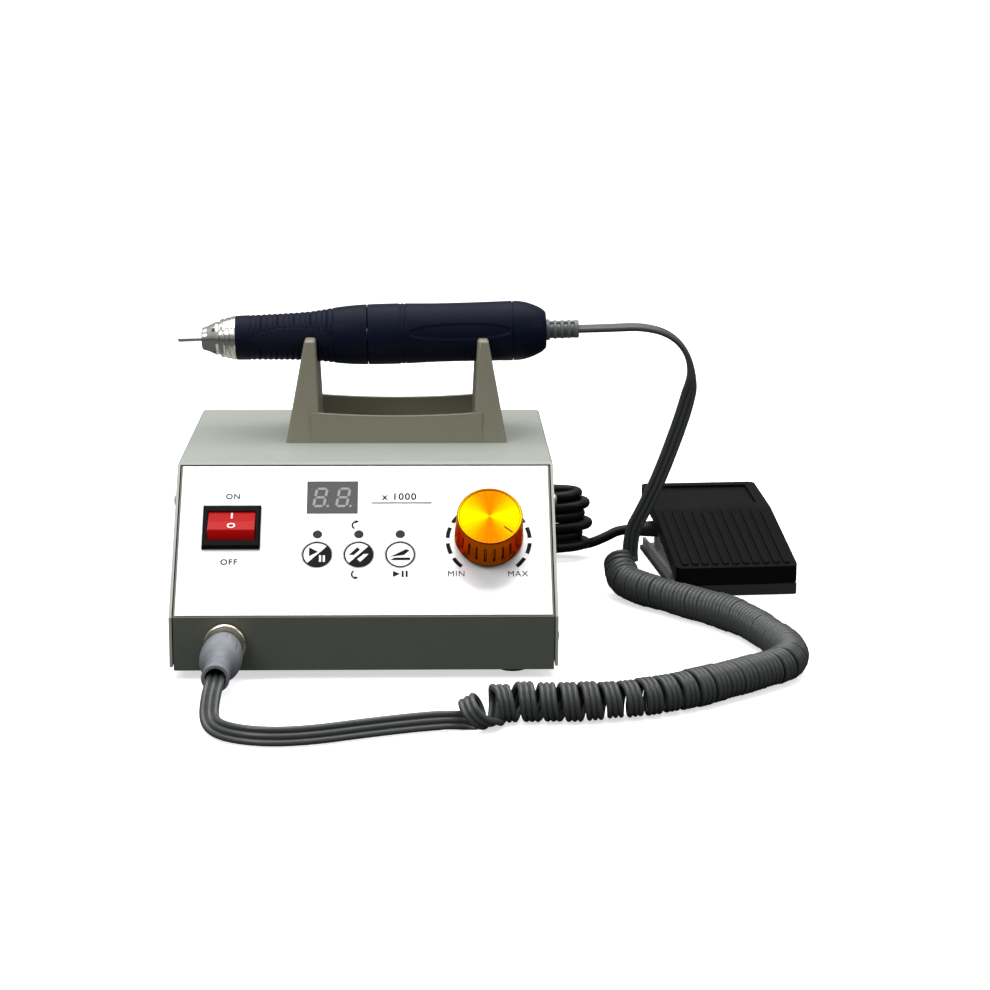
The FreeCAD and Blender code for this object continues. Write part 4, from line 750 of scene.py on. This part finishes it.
def make_tie():
    """A flat tie round the middle of the hank."""
    x, y = HANK_MIDDLE
    wide, tall, corner = 9.6, 16.6, 5.0
    level = 18.4
    loop = []
    for k in range(48):
        a = math.tau * k / 48
        c, s = math.cos(a), math.sin(a)
        cy = (wide - corner) * (1 if c > 0 else -1)
        cz = (tall - corner) * (1 if s > 0 else -1)
        loop.append((cy, cz, c, s))
    vertices = []
    for dx, grow in ((-2.5, 0.0), (-2.5, 1.1), (2.5, 1.1), (2.5, 0.0)):
        for cy, cz, c, s in loop:
            r = corner + grow
            vertices.append(at(x + dx, y + cy + r * c, level + cz + r * s))
    return piece("lead_tie", vertices, tube_faces(4, 48, loop=True), "pedal_cord", "console",
                 ("hank_tie",))


# ---------------------------------------------------------------- control box details
PRINT_LOW, PRINT_TOP, LETTER_DEPTH = 0.42, 0.50, 0.03


def printed(name, shapes, finish="print_black", body="console", low=PRINT_LOW,
            high=PRINT_TOP, place=on_panel):
    """Flat marks: closed outlines given as (u, v) lists, raised a little."""
    vertices, faces = [], []
    for outline in shapes:
        n, base = len(outline), len(vertices)
        vertices += [place(u, v, high) for u, v in outline] + [place(u, v, low) for u, v in outline]
        faces.append(tuple(base + i for i in range(n)))
        faces += [(base + i, base + (i + 1) % n, base + n + (i + 1) % n, base + n + i) for i in range(n)]
    return piece(name, vertices, faces, finish, body, smooth=20)


def bar(u0, v0, u1, v1):
    return [(u0, v0), (u1, v0), (u1, v1), (u0, v1)]


def arc_band(u, v, inner, outer, start, end, steps=None):
    steps = steps or max(int(abs(end - start) / 4), 2)
    angles = [math.radians(start + (end - start) * k / steps) for k in range(steps + 1)]
    rim = [(u + outer * math.cos(a), v + outer * math.sin(a)) for a in angles]
    return rim + [(u + inner * math.cos(a), v + inner * math.sin(a)) for a in reversed(angles)]


def ring_bands(u, v, inner, outer):
    return [arc_band(u, v, inner, outer, a, a + 60, 10) for a in range(0, 360, 60)]


def lettered(name, words, u, v, size):
    curve = bpy.data.curves.new(name, "FONT")
    curve.body = words
    curve.size = size
    curve.align_x, curve.align_y = "CENTER", "CENTER"
    curve.space_character = 1.15
    curve.extrude = LETTER_DEPTH
    curve.offset = 0.0 if "M" in words else 0.02 * size  # an M would cross itself
    holder = add_object(name, curve)
    mesh = bpy.data.meshes.new_from_object(holder)
    bpy.data.objects.remove(holder)
    mesh.name = name
    for vertex in mesh.vertices:
        x, y, z = vertex.co
        vertex.co = on_panel(u + x, v + y, PRINT_TOP - LETTER_DEPTH + z)
    piece_of_mesh(name, mesh, "print_black", "console", smooth=20)


DIAL = (52.9, 37.4)


def make_dial_scale():
    inner, outer = 16.75, 18.45
    dashes = [arc_band(*DIAL, inner, outer, middle - 8.6, middle + 8.6)
              for middle in (-39.6, -14.0, 12.0, 38.0, 64.0, 90.0, 116.0, 142.0, 168.0, 194.0, 219.6)]
    printed("dial_scale", dashes)
    lettered("dial_low", "MIN", 38.9, 20.6, 3.8)
    lettered("dial_high", "MAX", 65.0, 20.5, 3.8)


def make_panel_words():
    lettered("switch_on", "ON", -57.0, 59.4, 3.7)
    lettered("switch_off", "OFF", -57.6, 26.6, 3.8)
    lettered("display_factor", "x 1000", 14.6, 59.2, 4.7)
    printed("display_rule", [bar(2.6, 55.9, 28.6, 56.4)])
    arrows = []
    for v, flip, start in ((44.9, 1, 110), (20.6, -1, 120)):
        arrows.append(arc_band(-3.6, v, 1.5, 2.25, start, start + 130, 8))
        tip_v = v + 1.75 * flip
        arrows.append([(-4.4, tip_v - 0.8), (-2.4, tip_v), (-4.2, tip_v + 0.9)])
    arrows.append([(12.0, 19.2), (15.1, 20.7), (12.0, 22.2)])
    arrows += [bar(15.7, 19.2, 16.6, 22.2), bar(17.4, 19.2, 18.3, 22.2)]
    printed("panel_arrows", arrows)


KEYS = {"key_mode": (-20.3, "mode_key"), "key_direction": (-2.6, "direction_key"),
        "key_start": (15.1, "start_key")}
KEY_V = 30.3


def make_key_marks():
    """Rings and signs on the three keys; each rides on its own key."""
    dark = {
        "key_mode": [[(-3.4, -0.8), (-3.4, 3.6), (0.4, 1.4)]],
        "key_direction": [[(-4.2, -0.2), (-0.6, 3.6), (0.6, 2.4), (-2.0, -0.2)]],
        "key_start": [[(-4.4, -1.2), (2.4, 2.6), (4.0, 2.0), (1.6, -0.2)],
                      [(-4.4, -2.8), (4.2, -2.8), (4.2, -1.6), (-2.4, -1.6)]]}
    pale = {
        "key_mode": [bar(0.9, -3.6, 1.8, -0.4), bar(2.5, -3.6, 3.4, -0.4)],
        "key_direction": [[(4.2, 0.2), (0.8, -3.6), (-0.6, -2.4), (2.2, 0.2)]]}
    for node, (u, body) in KEYS.items():
        def from_middle(shapes):
            return [[(u + du, KEY_V + dv) for du, dv in shape] for shape in shapes]

        marks = ring_bands(u, KEY_V, 5.7, 6.35)
        if node in pale:
            half = [(5.75 * math.cos(a), 5.75 * math.sin(a)) for a in map(math.radians, range(-135, 46, 10))]
            marks += from_middle([half])
        printed(node + "_signs", marks + from_middle(dark[node]), "print_black", body)
        if node in pale:
            printed(node + "_light", from_middle(pale[node]), "key_white", body,
                    low=0.47, high=0.55)


def make_digits():
    """Two slanted digits, unlit, with their points."""
    shapes = []
    slant, middle = 0.16, 59.0
    h, w, t, g = 10.0 / 2, 5.6 / 2, 1.15 / 2, 0.22    # half height, half width, half stroke, gap
    for centre in (-19.4, -9.6):
        def lean(points):
            return [(centre + u + (v * slant), middle + v) for u, v in points]
        for v in (h - t, 0.0, -h + t):
            shapes.append(lean([(-w + t + g, v), (-w + 2 * t + g, v + t), (w - 2 * t - g, v + t),
                                (w - t - g, v), (w - 2 * t - g, v - t), (-w + 2 * t + g, v - t)]))
        for u in (-w + t, w - t):
            for v0, v1 in ((g + t * 0.3, h - t - g), (-h + t + g, -g - t * 0.3)):
                shapes.append(lean([(u, v0), (u + t, v0 + t), (u + t, v1 - t), (u, v1), (u - t, v1 - t),
                                    (u - t, v0 + t)]))
        dot = [(w + 1.1 + 0.62 * math.cos(math.radians(a)), -h + 0.6 + 0.62 * math.sin(math.radians(a)))
               for a in range(0, 360, 24)]
        shapes.append(lean(dot))
    printed("display_digits", shapes, "digit_pale", "console")


def on_rocker(u, v, w):
    """On the rocker's face: it leans back about its pivot."""
    lean = math.radians(-18.0)
    c, s = math.cos(lean), math.sin(lean)
    return on_panel(-57.0 + u, 43.6 + v * c - w * s, -2.3 + v * s + w * c)


def make_rocker_marks():
    top = 6.2

    def face_height(v):
        return top - 0.5 * (1 - abs(v) / math.sqrt(8.6 ** 2 - top ** 2)) + 0.03

    def place(u, v, w):
        return on_rocker(u, v, face_height(v) + w)

    printed("rocker_line", [bar(-0.35, 1.7, 0.35, 4.9)], "rocker_print", "rocker",
            low=0.0, high=0.08, place=place)
    ring = [arc_band(0, -3.1, 1.15, 1.75, a, a + 45, 5) for a in range(0, 360, 45)]
    printed("rocker_circle", ring, "rocker_print", "rocker",
            low=0.0, high=0.08, place=place)


def make_knob():
    """Gold knob: plain rims, ribs between them, a turned top with a small step and a pointer notch."""
    bottom, top = 3.0, 19.8
    foot, head = 14.7, 13.95
    outline = [(bottom, 12.4), (bottom, 14.3), (bottom + 0.35, foot), (bottom + 2.6, foot - 0.1),
               (bottom + 3.0, foot - 0.12)]
    outline += [(bottom + 3.0 + k * 0.9, foot - 0.14 - 0.035 * k) for k in range(1, 10)]
    outline += [(top - 4.3, head + 0.18), (top - 3.9, head + 0.14), (top - 0.45, head - 0.02),
                (top, head - 0.5), (top - 0.05, head - 1.0), (top - 0.3, head - 1.25), (top - 0.3, 0.4)]

    def ribs(s, r, angle):
        band = smooth_step(bottom + 2.9, bottom + 3.4, s) * (1 - smooth_step(top - 4.4, top - 3.9, s))
        phase = (angle * 24 / math.tau) % 1.0
        cut = 1 - smooth_step(0.07, 0.13, abs(phase - 0.5))
        r = r - 0.9 * band * cut
        pointer = abs((angle - POINTER_ANGLE + math.pi) % math.tau - math.pi)
        if s >= top - 0.5 and r > 8.4 and pointer < 0.05:
            r = min(r, 13.4)
        return r

    u, v = KNOB_CENTRE

    def place(s, a, b):
        return on_panel(u + a, v + b, s)

    knob = lathed("knob_shell", place, outline, "gold", "dial", ("speed_knob",), around=480,
                  shape=ribs, smooth=30)
    knob.data.materials.append(MADE["gold_face"])
    out = (on_panel(0, 0, 1) - on_panel(0, 0, 0)).normalized()
    for face in knob.data.polygons:
        if (face.center - on_panel(0, 0, 0)).dot(out) > (top - 0.6) * MM:
            face.material_index = 1
    c, s = math.cos(POINTER_ANGLE), math.sin(POINTER_ANGLE)
    groove = [(u + r * c + side * 0.28 * s, v + r * s - side * 0.28 * c)
              for r, side in ((7.8, 1), (12.4, 1), (12.4, -1), (7.8, -1))]
    printed("knob_pointer", [groove], "knob_black", "dial", low=top - 0.4, high=top - 0.26)


def make_plug_boot():
    """Ribbed rubber boot: swelling grip, neck, ringed collar and the mouth the cord goes into."""
    mouth = 52.0
    grip = curve_through([(6.2, 6.6), (7.6, 7.0), (12.0, 7.9), (18.0, 8.6), (24.0, 8.75), (29.0, 8.45),
                          (32.4, 7.7)], 6)
    outline = [(6.2, 6.1)] + grip + [(33.2, 7.0), (34.2, 6.2), (35.6, 5.4)]
    for k in range(4):
        s = 36.4 + k * 2.9
        outline += [(s, 5.0), (s + 0.5, 5.45), (s + 1.7, 5.45), (s + 2.2, 5.0)]
    outline += [(48.6, 4.9), (49.2, 5.7), (mouth - 0.3, 5.75), (mouth, 5.4), (mouth, 4.3), (46.0, 4.3)]

    def flutes(s, r, angle):
        depth = smooth_step(9, 13, s) * (1 - smooth_step(26, 31, s))
        return r - 0.22 * depth * max(0.0, math.cos(angle * 10)) ** 6

    def place(s, a, b):
        return at(MOTOR_PLUG_X + a, -s, MOTOR_PLUG_Z + b)

    lathed("plug_grip", place, outline, "boot_rubber", "console", ("plug_boot",), around=120,
           shape=flutes, smooth=40, ends=False)


# ---------------------------------------------------------------- handpiece details
SLEEVE = curve_through([(15.6, 10.1), (22.0, 10.25), (31.3, 10.5), (42.0, 10.85), (50.0, 11.3),
                        (56.5, 12.1), (62.1, 12.85), (69.0, 13.5), (75.6, 13.8)], 10)
HOUSING = curve_through([(75.9, 13.8), (84.0, 13.9), (92.0, 13.85), (101.0, 13.6), (110.5, 13.45),
                         (122.0, 13.48), (134.0, 13.6), (142.1, 13.75)], 10)


LEAF = (23.0, 60.0, 5.2)    # start, end and half height of the grip's crosshatched panel


def leaf_height(s, start, end, tall):
    t = (s - (start + end) / 2) / ((end - start) / 2)
    return tall * math.sqrt(max(1 - t * t, 0.0)) if abs(t) < 1 else 0.0


def make_grip():
    """Grip sleeve: scalloped ridges above and below a leaf-shaped crosshatched panel on each side."""
    start, end, pitch = 22.3, 61.6, 2.5
    steps = [15.6, 15.9] + [16.2 + 0.3 * k for k in range(198)] + [75.3, 75.6]
    outline = [(15.6, 8.3), (15.6, 9.7)] + [(s, read_curve(SLEEVE, s)) for s in steps if s > 15.7]
    outline += [(75.6, 13.3), (75.6, 11.9)]

    def ridges(s, r, angle):
        if r < 10.0:
            return r
        height = abs(r * math.sin(angle))
        leaf = leaf_height(s, *LEAF)
        open_side = smooth_step(leaf + 0.5, leaf + 1.5, height)
        band = smooth_step(start - 0.3, start, s) * (1 - smooth_step(end, end + 0.3, s))
        valley = 1 - abs(math.sin(math.pi * (s - start) / pitch)) ** 0.6
        edge = math.exp(-((height - leaf - 0.4) / 0.35) ** 2) * (1 if leaf > 0 else 0)
        return r - 0.5 * valley * band * open_side - 0.3 * edge - 0.12 * (1 if height < leaf else 0)

    grip = lathed("grip_shell", round_hand, outline, "navy", "grip", ("grip_sleeve",),
                  around=180, shape=ridges, smooth=50, ends=False)
    grip.data.materials.append(MADE["navy_crosshatch"])
    axis, way = on_hand(0, 0, 0), (on_hand(1, 0, 0) - on_hand(0, 0, 0)).normalized()
    for face in grip.data.polygons:
        rel = face.center - axis
        s = rel.dot(way)
        up = (rel - way * s).z / MM
        s /= MM
        if abs(up) < leaf_height(s, *LEAF) - 0.2:
            face.material_index = 1


def make_housing():
    """Motor housing: two ring grooves near the front and a long shallow recess on each side."""
    steps = [75.9, 76.2] + [76.5 + 0.5 * k for k in range(131)] + [141.8, 142.1]
    outline = [(75.9, 11.9), (75.9, 13.4)] + [(s, read_curve(HOUSING, s)) for s in steps if s > 76.0]
    outline += [(142.1, 13.3), (142.1, 11.9)]

    def relief(s, r, angle):
        if r < 13.0:
            return r
        for groove in (91.1, 92.9):
            r -= 0.35 * math.exp(-((s - groove) / 0.4) ** 2)
        height = abs(r * math.sin(angle) - 2.0)
        lens = leaf_height(s, 95.0, 141.0, 3.4)
        sunk = 1 - smooth_step(lens - 0.2, lens + 0.5, height) if lens > 0 else 0.0
        return r - 0.45 * sunk

    lathed("housing_shell", round_hand, outline, "navy", "handpiece", ("motor_housing",),
           around=180, shape=relief, smooth=50, ends=False)


def make_relief():
    """Pale strain relief: a soft core with five rings joined by bars above and below."""
    start = 157.6
    core = [(start - 4, 3.1), (start, 3.1), (start + 15.1, 3.0), (start + 15.1, 2.0)]
    lathed("relief_core", round_hand, core, "relief", "handpiece", ("cord_relief",), around=48)
    rings = [(start, 1.8, 4.8), (start + 3.6, 1.4, 4.3), (start + 6.8, 1.4, 4.25), (start + 10.0, 1.4, 4.2),
             (start + 13.1, 2.0, 4.1)]
    for k, (s, wide, r) in enumerate(rings):
        outline = [(s, 2.9), (s, r - 0.25), (s + 0.25, r), (s + wide - 0.25, r), (s + wide, r - 0.25),
                   (s + wide, 2.9)]
        lathed(f"relief_ring_{k + 1}", round_hand, outline, "relief", "handpiece", around=48,
               ends=False)
    vertices, faces = [], []
    for side in (-1, 1):
        base = len(vertices)
        profile = [(-1.5, 2.6), (-1.5, 3.6), (-1.0, 3.9), (1.0, 3.9), (1.5, 3.6), (1.5, 2.6)]
        for s in (start + 0.4, start + 14.8):
            vertices += [on_hand(s, a, side * b) for a, b in profile]
        n = len(profile)
        faces += [(base + i, base + (i + 1) % n, base + n + (i + 1) % n, base + n + i) for i in range(n)]
        faces += [tuple(base + i for i in range(n)), tuple(base + n + i for i in range(n))]
    piece("relief_bars", vertices, faces, "relief", "handpiece")


# ---------------------------------------------------------------- pedal details
def make_treadle_ribs():
    """Raised ribs with rounded ends along the treadle's ramp."""
    front, fold = 13.9, 29.3
    run = 60.0
    lean = math.atan2(fold - front, run)
    vertices, faces = [], []
    y0, y1, pitch, half = 4.5, 56.5, 4.95, 1.75
    for k in range(11):
        x = 29.5 + (k - 5) * pitch
        base = len(vertices)
        ends = []
        for start, y in ((0.0, y1), (math.pi, y0)):
            for step in range(9):
                a = start + math.pi * step / 8
                ends.append((x + half * math.cos(a), y + half * math.sin(a)))
        n = len(ends)
        for inset, lift in ((0.0, -0.2), (0.0, 0.35), (0.35, 0.7)):
            for px, py in ends:
                cy, share = min(max(py, y0), y1), 1 - inset / half
                qx, qy = x + (px - x) * share, cy + (py - cy) * share
                z = front + (fold - front) * qy / run
                vertices.append(on_pedal(qx, qy - lift * math.sin(lean), z + lift * math.cos(lean)))
        faces += tube_faces(3, n, offset=base)
        faces.append(tuple(base + 2 * n + i for i in range(n)))
    piece("treadle_ribs", vertices, faces, "pedal_black", "treadle", smooth=40)


def make_spring_give():
    """The return spring, with its foot on the plate, gets a mesh of its own; its middle and its reach to the
    hinge are worked out and not used.
    """
    spring = nodes["return_spring"]
    bpy.context.view_layer.update()
    points = [spring.matrix_world @ v.co for v in spring.data.vertices]
    middle = sum(points, Vector()) / len(points)
    reach = (Vector(on_pedal(*PEDAL_HINGE)) - middle).to_2d().length
    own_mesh(spring)


# ---------------------------------------------------------------- floor and light
def split_by_ray(tree, seen, unseen, output):
    """One shader where the camera looks, another for the light that bounces."""
    path = tree.nodes.new("ShaderNodeLightPath")
    mix = tree.nodes.new("ShaderNodeMixShader")
    fill(tree, mix.inputs, (path.outputs["Is Camera Ray"], unseen.outputs[0], seen.outputs[0]))
    tree.links.new(mix.outputs[0], tree.nodes[output].inputs["Surface"])


def make_floor_paint():
    """White seamless sheet to the eye, with faint contact shadows; it gives the set little light back."""
    made = bpy.data.materials.new("floor")
    made.use_nodes = True
    tree = made.node_tree
    seen = tree.nodes["Principled BSDF"]
    for label, value in (("Base Color", (0.80, 0.80, 0.80, 1)), ("Roughness", 0.9),
                         ("Specular IOR Level", 0.0), ("Emission Color", (1, 1, 1, 1)),
                         ("Emission Strength", 0.62)):
        seen.inputs[label].default_value = value
    unseen = add_node(tree, "BsdfDiffuse", color=(0.09, 0.09, 0.09, 1))
    split_by_ray(tree, seen, unseen, "Material Output")
    return made


def make_world():
    """White to the eye; as a light it is dim at the horizon and brighter overhead."""
    world = bpy.data.worlds.new("studio")
    bpy.context.scene.world = world
    world.use_nodes = True
    tree = world.node_tree
    seen = tree.nodes["Background"]
    fill(tree, seen.inputs, ((1, 1, 1, 1), 1.05))
    direction = add_node(tree, "TexCoord").outputs["Generated"]
    height = add_node(tree, "SeparateXYZ", vector=direction).outputs[2]
    lit = add_node(tree, "Background", color=(1, 1, 1, 1),
                   strength=spread(tree, height, 0.0, 0.9, 0.16, 0.75))
    split_by_ray(tree, seen, lit, "World Output")


def make_studio():
    mesh = bpy.data.meshes.new("floor")
    half, level = 40.0, -0.0002
    mesh.from_pydata([(u, v, level) for u, v in bar(-half, -half, half, half)], [], [(0, 1, 2, 3)])
    mesh.materials.append(make_floor_paint())
    add_object("floor", mesh)
    make_world()
    bpy.context.scene.view_settings.view_transform = "Standard"
    lights = [("key", (-0.8, -1.0, 1.1), 0.7, 7.0), ("fill", (1.2, -0.8, 0.8), 0.6, 2.5),
              ("top", (0.0, 0.1, 1.3), 1.6, 21.0)]
    for name, place, size, power in lights:
        data = bpy.data.lights.new(name, "AREA")
        data.shape = "DISK"
        data.size = size
        data.energy = power
        light = add_object(name, data)
        light.location = place
        light.rotation_euler = (Vector((0, 0, 0.06)) - Vector(place)).to_track_quat("-Z", "Y").to_euler()


# ---------------------------------------------------------------- the set
make_camera()
make_finishes()
make_plug_boot()
make_motor_cord()
make_pedal_cord()
paint_packed_nodes()
make_dial_scale()
make_panel_words()
make_key_marks()
make_digits()
make_rocker_marks()
make_knob()
make_grip()
make_housing()
make_relief()
make_treadle_ribs()
make_spring_give()
make_studio()
